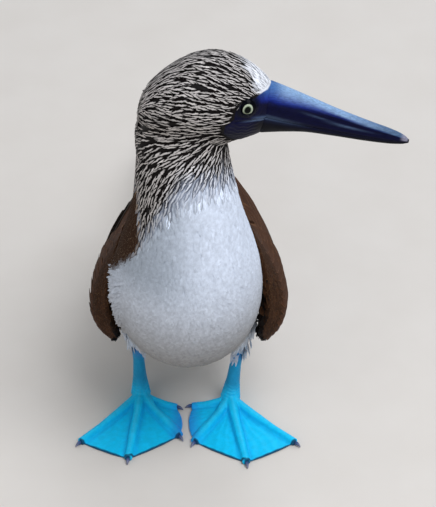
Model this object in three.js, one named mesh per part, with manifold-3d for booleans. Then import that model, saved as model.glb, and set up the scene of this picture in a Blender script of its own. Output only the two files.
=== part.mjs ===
// A life-size blue-footed booby standing on both webbed feet, its head turned over its left shoulder.
// Millimetres. +Z is up, the bird faces -Y, and its own left is +X.
// The origin is on the floor, under the middle of the whole bird's bounding box.
import * as THREE from "three";
import { mergeVertices } from "three/addons/utils/BufferGeometryUtils.js";
import Module from "manifold-3d";

const wasm = await Module();
wasm.setup();

// Driving dimensions. Until the last step the floor point midway between the two ankles is the zero point.
const GAP = 0.3; // between parts that touch
const BILL_LENGTH = 108; // from the forehead feathers to the tip
const TARSUS_TOP = 56; // height of the ankle joint, where the thigh's feathers begin
const MIDDLE_TOE = 75; // without its claw
const TAIL_LENGTH = 212;
const BODY_LEAN = 5.7; // the trunk is carried this far to the left of the feet's middle
const BODY_SIDES = 28; // facets round the trunk and neck
const BODY_STEPS = 24; // sections from rump to nape

// Outline of trunk and neck seen from the side, from the tail's root up to the nape. Each station is a
// slice: a point on the back, a point on the belly, both [y, z], half of the width between, and how far
// the neck leans back to the right from the trunk's middle.
const BODY_STATIONS = [
  { back: [170, 110], belly: [166, 91], halfWidth: 15 },
  { back: [140, 121], belly: [126, 81], halfWidth: 26 },
  { back: [104, 134], belly: [82, 69], halfWidth: 39 },
  { back: [70, 150], belly: [38, 59], halfWidth: 49 },
  { back: [36, 171], belly: [-10, 54], halfWidth: 56 },
  { back: [8, 195], belly: [-52, 79], halfWidth: 59 },
  { back: [-10, 217], belly: [-88, 113], halfWidth: 59 },
  { back: [-22, 239], belly: [-107, 150], halfWidth: 55 },
  { back: [-29, 261], belly: [-113, 190], halfWidth: 47 },
  { back: [-31, 283], belly: [-109, 227], halfWidth: 40, lean: -0.5 },
  { back: [-28, 301], belly: [-102, 260], halfWidth: 36.2, lean: -2 },
  { back: [-25, 316], belly: [-94, 290], halfWidth: 33.5, lean: -3.5 },
  { back: [-28, 329], belly: [-82, 314], halfWidth: 28, lean: -4.5 },
];

// The head has a frame of its own: x forward along the bill, y to its left, z up, zero between the eyes.
const HEAD_CENTRE = new THREE.Vector3(48.7, -50.7, 339);
const HEAD_TURN = 89; // degrees from straight ahead towards the bird's left
const HEAD_PITCH = -12; // bill below the horizon
const HEAD_ROLL = 12; // right cheek up, towards someone standing in front
const BILL_BASE = 17; // how far ahead of the eyes the horn starts
const HEAD_STATIONS = [
  { x: -74, top: -20, bottom: -27, halfWidth: 7 },
  { x: -71, top: -7, bottom: -38, halfWidth: 17 },
  { x: -62, top: 6, bottom: -43, halfWidth: 26 },
  { x: -50, top: 18, bottom: -43, halfWidth: 31 },
  { x: -35, top: 27.5, bottom: -43, halfWidth: 31.5 },
  { x: -20, top: 30, bottom: -41, halfWidth: 29 },
  { x: -4, top: 27, bottom: -37, halfWidth: 24 },
  { x: 8, top: 21, bottom: -31.5, halfWidth: 18.5 },
  { x: BILL_BASE, top: 14.5, bottom: -26, halfWidth: 13.5 },
];
const EYE = { radius: 7.5, side: 16.6, lidRing: 6.3, lidThickness: 1.3, sides: 12 };

// Bill outline in the head's frame: heights of ridge, cutting edge and keel at shares of its length.
const BILL_STATIONS = [
  { share: 0, ridge: 14.2, edge: -9, keel: -25.5, halfWidth: 13 },
  { share: 0.13, ridge: 11.4, edge: -10.6, keel: -22.2, halfWidth: 10.6 },
  { share: 0.3, ridge: 7.2, edge: -12, keel: -18.8, halfWidth: 8.2 },
  { share: 0.5, ridge: 2.2, edge: -12.8, keel: -18, halfWidth: 6.4 },
  { share: 0.7, ridge: -2, edge: -13, keel: -17.6, halfWidth: 5 },
  { share: 0.86, ridge: -5, edge: -13, keel: -16.6, halfWidth: 3.6 },
  { share: 0.95, ridge: -7.6, edge: -12.8, keel: -15.2, halfWidth: 2.3 },
  { share: 1, ridge: -10.8, edge: -12.6, keel: -13.4, halfWidth: 0.8 },
];

// The two feet aren't quite alike: where each stands, its ankle joint, and its toes' directions in
// degrees from straight ahead towards the outside, from the outer toe to the hind one.
const FEET = [
  { side: 1, label: "left", root: [39.4, -5], ankle: [46, 6], splay: [46, 9.7, -30.4, -80] },
  { side: -1, label: "right", root: [-34.9, 0], ankle: [-37, 11], splay: [41, 6.4, -34.2, -68] },
];

// The folded wing's outer face is spanned by three curves from front to tip, given here for the left
// wing: along the back, along the widest line, and along the lower edge from the wrist.
const WING_BACK_LINE = [
  [43, -31, 229], [39, -4, 198], [33, 26, 171], [26, 66, 151], [18, 118, 135], [13, 178, 120], [12, 245, 106],
  [16, 322, 80],
];
const WING_SIDE_LINE = [
  [66, -54, 158], [75.5, -29, 138], [72.5, 12, 133], [66, 60, 123], [53, 118, 112], [33, 178, 105], [23, 245, 98],
  [17, 323, 78],
];
const WING_LOW_LINE = [
  [53, -48, 101], [60, -28, 86], [64, 10, 79], [61, 60, 79], [49, 118, 84], [34, 178, 92], [25, 245, 94],
  [18, 324, 76],
];

const rad = THREE.MathUtils.degToRad;
const lerp = THREE.MathUtils.lerp;
const vector = (x, y, z) => new THREE.Vector3(x, y, z);
const smooth = (x) => THREE.MathUtils.smoothstep(x, 0, 1);

// Solids

// Turns a closed three.js geometry into a solid, with its faces pointing out whichever way it was drawn.
function solid(geometry) {
  const bare = new THREE.BufferGeometry();
  bare.setAttribute("position", geometry.getAttribute("position"));
  bare.setIndex(geometry.getIndex());
  const merged = mergeVertices(bare, 1e-4);
  const positions = merged.attributes.position.array;
  const corners = Array.from(merged.index.array);
  const faces = new Uint32Array(
    corners.filter((_, i) => {
      const [a, b, c] = corners.slice(i - (i % 3), i - (i % 3) + 3);
      return a !== b && b !== c && c !== a;
    }),
  );
  const make = () => new wasm.Manifold(new wasm.Mesh({ numProp: 3, vertProperties: positions, triVerts: faces }));
  const made = make();
  if (made.volume() > 0) {
    return made;
  }
  for (let i = 0; i < faces.length; i += 3) {
    [faces[i + 1], faces[i + 2]] = [faces[i + 2], faces[i + 1]];
  }
  return make();
}

// Skins a row of rings, each the same count of points, and closes both ends with a fan. For a thin sheet
// the second half of a ring runs back under the first, and is split into the same triangles.
function loft(rings, thin = false) {
  const sides = rings[0].length;
  const points = rings.flat();
  const faces = [];
  for (let ring = 0; ring < rings.length - 1; ring++) {
    for (let side = 0; side < sides; side++) {
      const a = ring * sides + side;
      const b = ring * sides + ((side + 1) % sides);
      const under = thin && side >= sides / 2;
      const split = under ? [a, b, b + sides, a, b + sides, a + sides] : [a, b, a + sides, b, b + sides, a + sides];
      faces.push(...split);
    }
  }
  for (const end of [0, rings.length - 1]) {
    const hub = points.length;
    points.push(rings[end].reduce((sum, p) => sum.add(p), vector(0, 0, 0)).divideScalar(sides));
    for (let side = 0; side < sides; side++) {
      const a = end * sides + side;
      const b = end * sides + ((side + 1) % sides);
      faces.push(...(end === 0 ? [hub, b, a] : [hub, a, b]));
    }
  }
  const geometry = new THREE.BufferGeometry().setFromPoints(points);
  geometry.setIndex(faces);
  return solid(geometry);
}

const join = (solids) => wasm.Manifold.union(solids);

// The largest closed surface: a hollow sealed by fusing is filled and a loose scrap is dropped.
function largest(made) {
  return made.decompose().reduce((best, piece) => (piece.volume() > best.volume() ? piece : best));
}

// A box with its middle at the given point, its z axis along the given normal.
function slab(centre, normal, width, thickness) {
  const geometry = new THREE.BoxGeometry(width, width, thickness);
  const turn = new THREE.Quaternion().setFromUnitVectors(vector(0, 0, 1), normal.clone().normalize());
  geometry.applyQuaternion(turn).translate(centre.x, centre.y, centre.z);
  return solid(geometry);
}

function toMesh(name, made, material) {
  const { vertProperties, triVerts, numProp } = largest(made).getMesh();
  const positions = new Float32Array((vertProperties.length / numProp) * 3);
  for (let i = 0; i < positions.length / 3; i++) {
    positions.set(vertProperties.subarray(i * numProp, i * numProp + 3), i * 3);
  }
  const geometry = new THREE.BufferGeometry();
  geometry.setAttribute("position", new THREE.BufferAttribute(positions, 3));
  geometry.setIndex(new THREE.BufferAttribute(new Uint32Array(triVerts), 1));
  geometry.computeVertexNormals();
  const mesh = new THREE.Mesh(geometry, material);
  mesh.name = name;
  return mesh;
}

// Materials

const finish = (color, roughness) => new THREE.MeshStandardMaterial({ color, roughness, metalness: 0 });
const whiteDown = finish(0xc9ccd4, 0.9);
const streakedFeather = finish(0x7d746c, 0.85);
const brownFeather = finish(0x4a3426, 0.8);
const tailFeather = finish(0x6b5a4c, 0.8);
const billHorn = finish(0x34538c, 0.35);
const footSkin = finish(0x22a9dd, 0.5);
const clawHorn = finish(0x5a5f70, 0.45);
const eyeball = finish(0xd9dcae, 0.15);

// Trunk, neck, head and thighs: modelled whole, then parted with thin cuts

const curveThrough = (points) => new THREE.CatmullRomCurve3(points, false, "centripetal");
const backCurve = curveThrough(BODY_STATIONS.map(({ back }) => vector(0, ...back)));
const bellyCurve = curveThrough(BODY_STATIONS.map(({ belly }) => vector(0, ...belly)));
const widthCurve = curveThrough(BODY_STATIONS.map(({ halfWidth, lean = 0 }, i) => vector(halfWidth, i, lean)));

// One slice of trunk or neck at a share of the way from rump to nape, swollen outwards by grow.
function bodyRing(share, grow) {
  const back = backCurve.getPoint(share);
  const belly = bellyCurve.getPoint(share);
  const centre = back.clone().add(belly).multiplyScalar(0.5);
  const rise = back.clone().sub(centre);
  rise.setLength(rise.length() + grow);
  const { x: halfWidth, z: lean } = widthCurve.getPoint(share);
  return Array.from({ length: BODY_SIDES }, (_, side) => {
    const angle = (side / BODY_SIDES) * 2 * Math.PI;
    const across = BODY_LEAN + lean + (halfWidth + grow) * Math.sin(angle);
    return centre.clone().addScaledVector(rise, Math.cos(angle)).setX(across);
  });
}

function trunkAndNeck(grow) {
  return loft(Array.from({ length: BODY_STEPS + 1 }, (_, step) => bodyRing(step / BODY_STEPS, grow)));
}

// From the head's frame to the bird's.
const headFrame = new THREE.Matrix4().makeRotationFromEuler(
  new THREE.Euler(rad(-HEAD_ROLL), rad(-HEAD_PITCH), rad(HEAD_TURN - 90), "ZYX"),
);
headFrame.setPosition(HEAD_CENTRE);
const inHead = (x, y, z) => vector(x, y, z).applyMatrix4(headFrame);

const headCurve = curveThrough(HEAD_STATIONS.map(({ x, halfWidth }) => vector(x, halfWidth, 0)));
const crownCurve = curveThrough(HEAD_STATIONS.map(({ x, top, bottom }) => vector(x, top, bottom)));

// Half the head's width at a point of its profile, for what sits on its cheeks.
function cheekAt(x, z) {
  const spans = HEAD_STATIONS.slice(1).map((next, i) => [HEAD_STATIONS[i], next]);
  const [before, after] = spans.find(([, next]) => x <= next.x) ?? spans.at(-1);
  const share = (x - before.x) / (after.x - before.x);
  const top = lerp(before.top, after.top, share);
  const bottom = lerp(before.bottom, after.bottom, share);
  const high = (2 * z - top - bottom) / (top - bottom);
  return lerp(before.halfWidth, after.halfWidth, share) * Math.sqrt(Math.max(0, 1 - high * high));
}

function skull(grow) {
  const steps = 14;
  const sides = 20;
  const rings = Array.from({ length: steps + 1 }, (_, step) => {
    const { x, y: halfWidth } = headCurve.getPoint(step / steps);
    const { y: top, z: bottom } = crownCurve.getPoint(step / steps);
    return Array.from({ length: sides }, (__, side) => {
      const angle = (side / sides) * 2 * Math.PI;
      const z = (top + bottom) / 2 + ((top - bottom) / 2 + grow) * Math.cos(angle);
      return inHead(x, (halfWidth + grow) * Math.sin(angle), z);
    });
  });
  return loft(rings);
}

// Round section at each of a few centres, facing along the line through them.
function limb(centres, radii, depths, sides) {
  const rings = centres.map((centre, i) => {
    const before = centres[Math.max(0, i - 1)];
    const after = centres[Math.min(centres.length - 1, i + 1)];
    const along = after.clone().sub(before).normalize();
    const across = vector(1, 0, 0).addScaledVector(along, -along.x).normalize();
    const forward = along.clone().cross(across);
    return Array.from({ length: sides }, (_, side) => {
      const angle = (side / sides) * 2 * Math.PI;
      return centre
        .clone()
        .addScaledVector(across, radii[i] * Math.cos(angle))
        .addScaledVector(forward, depths[i] * Math.sin(angle));
    });
  });
  return loft(rings);
}

// Where a foot stands on the floor, and the ankle joint at the bottom of the feathered thigh.
const footRoot = ({ root }) => vector(...root, 0);
const ankleJoint = ({ ankle }) => vector(...ankle, TARSUS_TOP);

function thigh(leg, grow) {
  const hip = ankleJoint(leg).add(vector(leg.side * -4, -14, 62));
  const joint = ankleJoint(leg).add(vector(0, 0, -grow));
  const centres = [0, 0.16, 0.4, 0.7, 1].map((share) => joint.clone().lerp(hip, share));
  const radii = [6.2, 9, 14, 17, 15].map((radius) => radius + grow);
  const depths = [6.8, 10.5, 18, 25, 22].map((depth) => depth + grow);
  return limb(centres, radii, depths, 14);
}

const SIDES = [1, -1];

// The eyes look out of the sides of the head and a little ahead.
const eyeCentre = (side) => inHead(0.5, side * EYE.side, 0);

function ball(centre, radius) {
  const geometry = new THREE.SphereGeometry(radius, EYE.sides, EYE.sides / 2);
  return solid(geometry.translate(centre.x, centre.y, centre.z));
}

// The rim of bare lid round an eye.
function lid(side) {
  const ring = new THREE.TorusGeometry(EYE.lidRing, EYE.lidThickness, 6, EYE.sides);
  ring.rotateX(Math.PI / 2);
  ring.rotateZ(rad(side * -12));
  ring.translate(0.8, side * (cheekAt(0, 0) - 1.1), 0);
  return solid(ring.applyMatrix4(headFrame));
}

// A shallow cut in the cheek where the mouth runs back from the bill to below the eye.
function gapeGroove(side) {
  const depth = 1.3;
  const openness = 0.45;
  const line = [[BILL_BASE + 1, -9], [8, -10.5], [0, -13.2], [-7, -17]];
  const rings = line.map(([x, z]) => {
    const inner = cheekAt(Math.min(x, BILL_BASE), z) - depth;
    return [
      inHead(x, side * inner, z - openness),
      inHead(x, side * (inner + 9), z - openness * 2),
      inHead(x, side * (inner + 9), z + openness * 2),
      inHead(x, side * inner, z + openness),
    ];
  });
  return loft(rings);
}

const allFlesh = (grow) => join([trunkAndNeck(grow), skull(grow), ...FEET.map((leg) => thigh(leg, grow))]);

const NECK_CUT = { centre: vector(0, -70, 252), normal: vector(0, -0.42, 0.91) };
const HEAD_CUT = { centre: vector(0, -58, 301), normal: vector(0, -0.1, 0.99) };

function parted() {
  const cuts = [
    slab(NECK_CUT.centre, NECK_CUT.normal, 260, GAP),
    slab(HEAD_CUT.centre, HEAD_CUT.normal, 260, GAP),
  ];
  const lids = SIDES.map((side) => lid(side));
  const sockets = SIDES.map((side) => ball(eyeCentre(side), EYE.radius + GAP));
  const grooves = SIDES.map((side) => gapeGroove(side));
  const whole = join([trunkAndNeck(0), skull(0), ...lids]).subtract(join([...cuts, ...sockets, ...grooves]));
  const byHeight = whole
    .decompose()
    .filter((piece) => piece.volume() > 1000)
    .sort((a, b) => a.boundingBox().min[2] - b.boundingBox().min[2]);
  return { torso: byHeight[0], neck: byHeight[1], head: byHeight[2] };
}

// Bill

const billX = (share) => BILL_BASE + GAP + share * BILL_LENGTH;
const outlineCurve = curveThrough(BILL_STATIONS.map(({ share, ridge, halfWidth }) => vector(share, ridge, halfWidth)));
const mouthCurve = curveThrough(BILL_STATIONS.map(({ share, edge, keel }) => vector(share, edge, keel)));
const BILL_STEPS = 16;

// Upper half: a ridged arch with a groove along each side, flat along the cutting edge.
function upperBill() {
  const groove = 0.93; // the side plate is stepped in below the ridge plate
  const rings = Array.from({ length: BILL_STEPS + 1 }, (_, step) => {
    const { x: share, y: ridge, z: halfWidth } = outlineCurve.getPoint(step / BILL_STEPS);
    const edge = mouthCurve.getPoint(step / BILL_STEPS).y + GAP / 2;
    const arch = [
      [1, 0], [1, 0.22], [0.98, 0.42], [0.9 * groove, 0.5], [0.84, 0.6], [0.68, 0.78], [0.42, 0.93], [0, 1],
    ];
    const right = arch.map(([w, h]) => inHead(billX(share), w * halfWidth, lerp(edge, ridge, h)));
    const left = arch.map(([w, h]) => inHead(billX(share), -w * halfWidth, lerp(edge, ridge, h)));
    return [...right, ...left.reverse().slice(1)];
  });
  return loft(rings);
}

// Lower half: a shallow trough closed flat along the cutting edge, narrower than the upper half.
function lowerBill() {
  const rings = Array.from({ length: BILL_STEPS + 1 }, (_, step) => {
    const { x: share, z: halfWidth } = outlineCurve.getPoint(step / BILL_STEPS);
    const { y: edge, z: keel } = mouthCurve.getPoint(step / BILL_STEPS);
    const half = [[0.94, 0], [0.92, 0.3], [0.78, 0.66], [0.45, 0.93], [0, 1]];
    const right = half.map(([w, h]) => inHead(billX(share), w * halfWidth, lerp(edge - GAP / 2, keel, h)));
    const left = half.map(([w, h]) => inHead(billX(share), -w * halfWidth, lerp(edge - GAP / 2, keel, h)));
    return [...right, ...left.reverse().slice(1)];
  });
  return loft(rings);
}

// Legs and feet

// Toes from the outer to the hind one, in the order of each foot's directions.
const TOES = [
  { name: "outer", length: MIDDLE_TOE * 0.97, girth: 3.9, knuckles: 4 },
  { name: "middle", length: MIDDLE_TOE, girth: 4.3, knuckles: 3 },
  { name: "inner", length: MIDDLE_TOE * 0.77, girth: 4, knuckles: 2 },
  { name: "hind", length: MIDDLE_TOE * 0.43, girth: 3.4, knuckles: 1 },
];
const WEB = { thickness: 1.3, lift: 0.5, instep: 7, raysBetweenToes: 3, rings: 3, bulge: 1.4 };
const TOE_STEPS = 6;
const INSTEP_TOP = 12; // the foot ends and the tarsus begins at this height

const toeDirection = ({ side, splay }, i) => vector(side * Math.sin(rad(splay[i])), -Math.cos(rad(splay[i])), 0);

// Ends of the web's rays from outside the outer toe round to the hind one, bulging a little between toes.
function webEdge(leg) {
  const tips = TOES.map(({ length }, i) => toeDirection(leg, i).multiplyScalar(length - 1));
  const between = tips.slice(1).flatMap((tip, i) => {
    const last = i === tips.length - 2 ? 1 : 0;
    return Array.from({ length: WEB.raysBetweenToes + last }, (_, k) => {
      const share = k / WEB.raysBetweenToes;
      const end = tips[i].clone().lerp(tip, share);
      return end.setLength(end.length() + WEB.bulge * Math.sin(Math.PI * share));
    });
  });
  const flange = tips[0].clone().applyAxisAngle(vector(0, 0, 1), rad(leg.side * 4)).multiplyScalar(0.94);
  return [flange, ...between];
}

// The web as one closed fan of upright slices, one along each ray, rising to the instep.
function web(leg) {
  const heel = footRoot(leg);
  const slices = webEdge(leg).map((end) => {
    const steps = Array.from({ length: WEB.rings + 1 }, (_, k) => k / WEB.rings);
    const at = (share, height) => heel.clone().addScaledVector(end, share).setZ(height);
    const top = (share) => WEB.lift + WEB.thickness + WEB.instep * (1 - smooth(share * 2.6));
    return [...steps.map((share) => at(share, top(share))), ...steps.reverse().map((share) => at(share, WEB.lift))];
  });
  return loft(slices);
}

// A toe with its knuckles, flat where it stands on the floor once the sole is trimmed.
function toeLimb(leg, { length, girth, knuckles }, i) {
  const forward = toeDirection(leg, i);
  const steps = Array.from({ length: TOE_STEPS + 1 }, (_, k) => k / TOE_STEPS);
  const radii = steps.map((share) => {
    const knuckle = 0.5 - 0.5 * Math.cos(2 * Math.PI * share * (knuckles + 0.5));
    return girth * (1.08 - 0.3 * share) * (0.88 + 0.16 * knuckle);
  });
  const centres = steps.map((share, k) => {
    const height = radii[k] * 0.8 + 4.4 * (1 - smooth(share * 3.4));
    return footRoot(leg).addScaledVector(forward, share * length).setZ(height);
  });
  return limb(centres, radii, radii, 8);
}

// The bare leg, flared where it spreads into the toes.
function tarsusLimb(leg) {
  const base = footRoot(leg).add(vector(0, 2, 6));
  const top = ankleJoint(leg);
  const centres = [0, 0.12, 0.3, 0.62, 0.86, 1].map((share) => base.clone().lerp(top, share));
  return limb(centres, [8.5, 7, 5.6, 4.6, 4.9, 5.6], [9, 8, 6.6, 5.6, 6, 6.6], 16);
}

const halfSpace = (centre, normal) => slab(centre.addScaledVector(normal, 300), normal, 600, 600);

const tarsus = (leg) => tarsusLimb(leg).intersect(halfSpace(vector(0, 0, INSTEP_TOP + GAP), vector(0, 0, 1)));

// Foot with the lowest bit of the tarsus, trimmed to the floor and kept off the other foot.
function foot(leg) {
  const shank = tarsusLimb(leg).intersect(halfSpace(vector(0, 0, INSTEP_TOP), vector(0, 0, -1)));
  const whole = join([web(leg), shank, ...TOES.map((toe, i) => toeLimb(leg, toe, i))]);
  return whole
    .intersect(halfSpace(vector((leg.side * GAP) / 2, 0, 0), vector(leg.side, 0, 0)))
    .intersect(halfSpace(vector(0, 0, 0), vector(0, 0, 1)));
}

// A small hooked cone on the blunt end of each toe.
function claw(leg, { length }, i) {
  const forward = toeDirection(leg, i);
  const at = (ahead, height) => footRoot(leg).addScaledVector(forward, length + GAP + ahead).setZ(height);
  return limb([at(0, 2.5), at(3, 2.9), at(5.6, 2.1), at(7, 0.9)], [2, 1.7, 1, 0.35], [2.1, 1.8, 1.1, 0.4], 8);
}

// Feathers

const VANE_THICKNESS = 0.7; // of a wing feather at its root
const SHAFT_RISE = 0.5; // of a ribbed feather's shaft over its vane, at its root

// The same random numbers at every run, from -1 to 1.
function seeded(seed) {
  let state = seed;
  return () => {
    state = (state * 1664525 + 1013904223) % 4294967296;
    return (state / 4294967296) * 2 - 1;
  };
}

// One vane over a curved face, root to tip: a thin plank, rounded or pointed at its end, with a raised
// shaft if it is ribbed. It is split into triangles alike above and below, so its faces can't cross.
function vane(face, { root, tip, width, thickness, lift, tilt = 0, point = 0.3, steps = 4, ribbed = false }) {
  const rings = Array.from({ length: steps + 1 }, (_, step) => {
    const share = step / steps;
    const at = (k) => face(lerp(root[0], tip[0], k), lerp(root[1], tip[1], k));
    const { place, normal } = at(share);
    const along = at(Math.min(1, share + 0.02)).place.sub(at(Math.max(0, share - 0.02)).place);
    const across = along.cross(normal).normalize();
    const swell = Math.min(1, 0.6 + share * 1.6);
    const taper = Math.sqrt(Math.max(0, 1 - Math.max(0, (share - 1 + point) / point) ** 2));
    const half = (width / 2) * swell * Math.max(0.2, taper);
    const depth = thickness * (1 - 0.3 * share);
    const high = lerp(lift[0], lift[1], share);
    const corner = (side, up) =>
      place
        .clone()
        .addScaledVector(across, side * half)
        .addScaledVector(normal, high + (side * tilt * half) / (width / 2) + up);
    const shaft = SHAFT_RISE * (1 - share);
    const flat = [corner(-1, 0), corner(1, 0), corner(1, -depth), corner(-1, -depth)];
    const rib = [
      corner(-1, 0), corner(0, shaft), corner(1, 0), corner(1, -depth), corner(0, -depth), corner(-1, -depth),
    ];
    return ribbed ? rib : flat;
  });
  return loft(rings, true);
}

// A folded wing's outer face as place and outward normal, s from front to tip and t from back to low edge.
function wingFace(side) {
  const lines = [WING_BACK_LINE, WING_SIDE_LINE, WING_LOW_LINE].map((line) =>
    curveThrough(line.map(([x, y, z]) => vector(BODY_LEAN + side * x, y, z))),
  );
  const place = (s, t) => {
    const [back, middle, low] = lines.map((line) => line.getPoint(THREE.MathUtils.clamp(s, 0, 1)));
    return back
      .multiplyScalar((1 - t) * (1 - 2 * t))
      .addScaledVector(middle, 4 * t * (1 - t))
      .addScaledVector(low, t * (2 * t - 1));
  };
  return (s, t) => {
    const e = 0.01;
    const alongS = place(Math.min(1, s + e), t).sub(place(Math.max(0, s - e), t));
    const alongT = place(s, t + e).sub(place(s, t - e));
    const normal = alongS.cross(alongT).multiplyScalar(-side).normalize();
    return { place: place(s, t), normal };
  };
}

const WING_ARM = {
  reach: 0.6, // share of the folded wing that has a solid core
  fleshEnd: 0.52, // behind this the core is only the stack of quills
  hung: 30, // depth at the shoulder
  quills: 1.3,
  steps: 9,
  sides: 7,
};

// The feathered arm: thick where it hangs on the shoulder, thin towards its lower edge and the quills.
function wingArm(face) {
  const { reach, fleshEnd, hung, quills, steps, sides } = WING_ARM;
  const depthAt = (s, t) => {
    const flesh = smooth(s / fleshEnd);
    const deep = lerp(lerp(hung, 9, smooth((t - 0.2) / 0.5)), quills, flesh);
    return Math.max(quills, deep * Math.sin(Math.PI * lerp(0.09, 0.91, t)) ** 0.5);
  };
  const rings = Array.from({ length: steps + 1 }, (_, step) => {
    const s = (step / steps) * reach;
    const rounding = Math.sqrt(Math.min(1, (step + 0.35) / 3));
    const margin = lerp(0.1, 0, rounding) + 0.13 * smooth((s - 0.3) / 0.25);
    const skin = Array.from({ length: sides + 1 }, (__, k) => {
      const t = lerp(margin, 1 - margin, k / sides);
      const { place, normal } = face(s, t);
      const outer = (rounding - 1) * 4 - 0.6 * smooth((s - 0.3) / 0.2);
      return { place, normal, outer, inner: outer - Math.max(quills, depthAt(s, t) * rounding) };
    });
    const at = ({ place, normal }, up) => place.clone().addScaledVector(normal, up);
    return [...skin.map((p) => at(p, p.outer)), ...skin.reverse().map((p) => at(p, p.inner))];
  });
  return loft(rings, true);
}

// Tiers of feathers on the folded wing, hindmost first. Each is a row of like vanes from the back line
// down to the low edge: roots and tips give [s, t] of its first and last one, lift the heights of a
// vane's root and tip over the face in mm.
const WING_TIERS = [
  // primaries, stacked flat under one another
  {
    count: 4, roots: [[0.36, 0.34], [0.34, 0.84]], tips: [[0.79, 0.22], [1, 0.7]], width: 19, lift: [-0.9, 0.3],
    stack: -0.9, tilt: 0, steps: 4,
  },
  // secondaries
  { count: 4, roots: [[0.27, 0.4], [0.24, 0.9]], tips: [[0.63, 0.38], [0.5, 0.95]], width: 23, lift: [-2, 1.2] },
  // tertials
  {
    count: 3, roots: [[0.28, 0.07], [0.26, 0.34]], tips: [[0.6, 0.08], [0.7, 0.34]], width: 25, lift: [-2, 2.2],
    steps: 4, ribbed: true,
  },
  // greater and median coverts
  { count: 6, roots: [[0.22, 0.14], [0.18, 0.88]], tips: [[0.4, 0.14], [0.32, 0.92]], width: 24, lift: [-3, 2.2] },
  { count: 5, roots: [[0.12, 0.17], [0.11, 0.84]], tips: [[0.26, 0.16], [0.21, 0.88]], width: 26, lift: [-3, 2.4] },
  // scapulars
  { count: 3, roots: [[0.14, 0.03], [0.2, 0.18]], tips: [[0.36, 0.04], [0.48, 0.2]], width: 26, lift: [-2, 3.6] },
];

function wingFeathers(face) {
  const random = seeded(11);
  return WING_TIERS.flatMap(({ count, roots, tips, width, lift, stack = 0, tilt = 1, steps = 3, ribbed }) =>
    Array.from({ length: count }, (_, i) => {
      const share = i / (count - 1);
      const between = (ends, k) => lerp(ends[0][k], ends[1][k], share);
      return vane(face, {
        root: [between(roots, 0), between(roots, 1)],
        tip: [between(tips, 0) + random() * 0.008, between(tips, 1)],
        width: width * (1 + random() * 0.05),
        thickness: VANE_THICKNESS,
        lift: lift.map((height) => height + i * stack),
        tilt,
        steps,
        ribbed,
      });
    }),
  );
}

// Tail: a closed wedge of long feathers on a stub, the middle pair longest and on top.
const TAIL = { pitch: -15, pairs: 7, width: 25, spread: 13, rootWidth: 8, droop: 4, start: [166, 98] };
const TAIL_STACK = 0.55; // each pair lies this far under the next one in
const TAIL_COVERTS = [
  { under: false, count: 4, reach: 0.36, width: 22, lift: [0, 1.8] },
  { under: false, count: 3, reach: 0.22, width: 24, lift: [1, 4] },
  { under: true, count: 4, reach: 0.38, width: 20, lift: [3, 5] },
];

// s runs from the stub to the tip and t across, from the right edge at -1 to the left edge at 1.
function tailFace(under) {
  const along = vector(0, Math.cos(rad(TAIL.pitch)), Math.sin(rad(TAIL.pitch)));
  const up = vector(0, -Math.sin(rad(TAIL.pitch)), Math.cos(rad(TAIL.pitch)));
  return (s, t) => {
    const angle = rad(TAIL.spread * t);
    const sideways = s * TAIL_LENGTH * Math.sin(angle) + t * TAIL.rootWidth;
    const place = vector(BODY_LEAN + sideways, ...TAIL.start)
      .addScaledVector(along, s * TAIL_LENGTH * Math.cos(angle))
      .addScaledVector(up, -TAIL.droop * t * t);
    return { place, normal: under ? up.clone().negate() : up.clone() };
  };
}

function tailFeathers() {
  const random = seeded(5);
  const long = Array.from({ length: TAIL.pairs }, (_, pair) => pair).flatMap((pair) => {
    const share = pair / (TAIL.pairs - 1);
    const down = -TAIL_STACK * pair;
    return SIDES.map((side) => {
      const t = side * lerp(0.1, 1, share);
      return vane(tailFace(false), {
        root: [-0.02, t],
        tip: [lerp(1, 0.56, share) + random() * 0.01, t],
        width: TAIL.width * lerp(1, 0.72, share),
        thickness: 1.3,
        lift: [down, down + 0.3],
        point: 0.45,
        steps: 4,
        ribbed: true,
      });
    });
  });
  const coverts = TAIL_COVERTS.flatMap(({ under, count, reach, width, lift }) =>
    Array.from({ length: count }, (_, i) => {
      const t = lerp(-0.75, 0.75, i / (count - 1));
      const tip = [reach * (1 - 0.25 * Math.abs(t)), t];
      return vane(tailFace(under), { root: [0, t * 0.8], tip, width, thickness: 1.6, lift, point: 0.5, steps: 3 });
    }),
  );
  return [...long, ...coverts];
}

function tailStub() {
  const ring = (y, z, halfWidth, high, low) =>
    Array.from({ length: 14 }, (_, side) => {
      const angle = (side / 14) * 2 * Math.PI;
      const rise = Math.cos(angle) > 0 ? high : low;
      return vector(BODY_LEAN + halfWidth * Math.sin(angle), y, z + rise * Math.cos(angle));
    });
  return loft([
    ring(158, 101, 15, 8.5, 9.5),
    ring(172, 97.5, 15, 8, 9),
    ring(190, 92.5, 14, 6.5, 7.5),
    ring(208, 87.5, 10, 4, 5),
  ]);
}

// Assembly

const bird = new THREE.Group();
const grownFlesh = allFlesh(GAP);
const grownTrunk = trunkAndNeck(GAP);
const { torso, neck, head } = parted();
bird.add(
  toMesh("torso", torso, whiteDown),
  toMesh("neck", neck, streakedFeather),
  toMesh("head", head, streakedFeather),
  toMesh("upper_bill", upperBill(), billHorn),
  toMesh("lower_bill", lowerBill(), billHorn),
);

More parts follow.
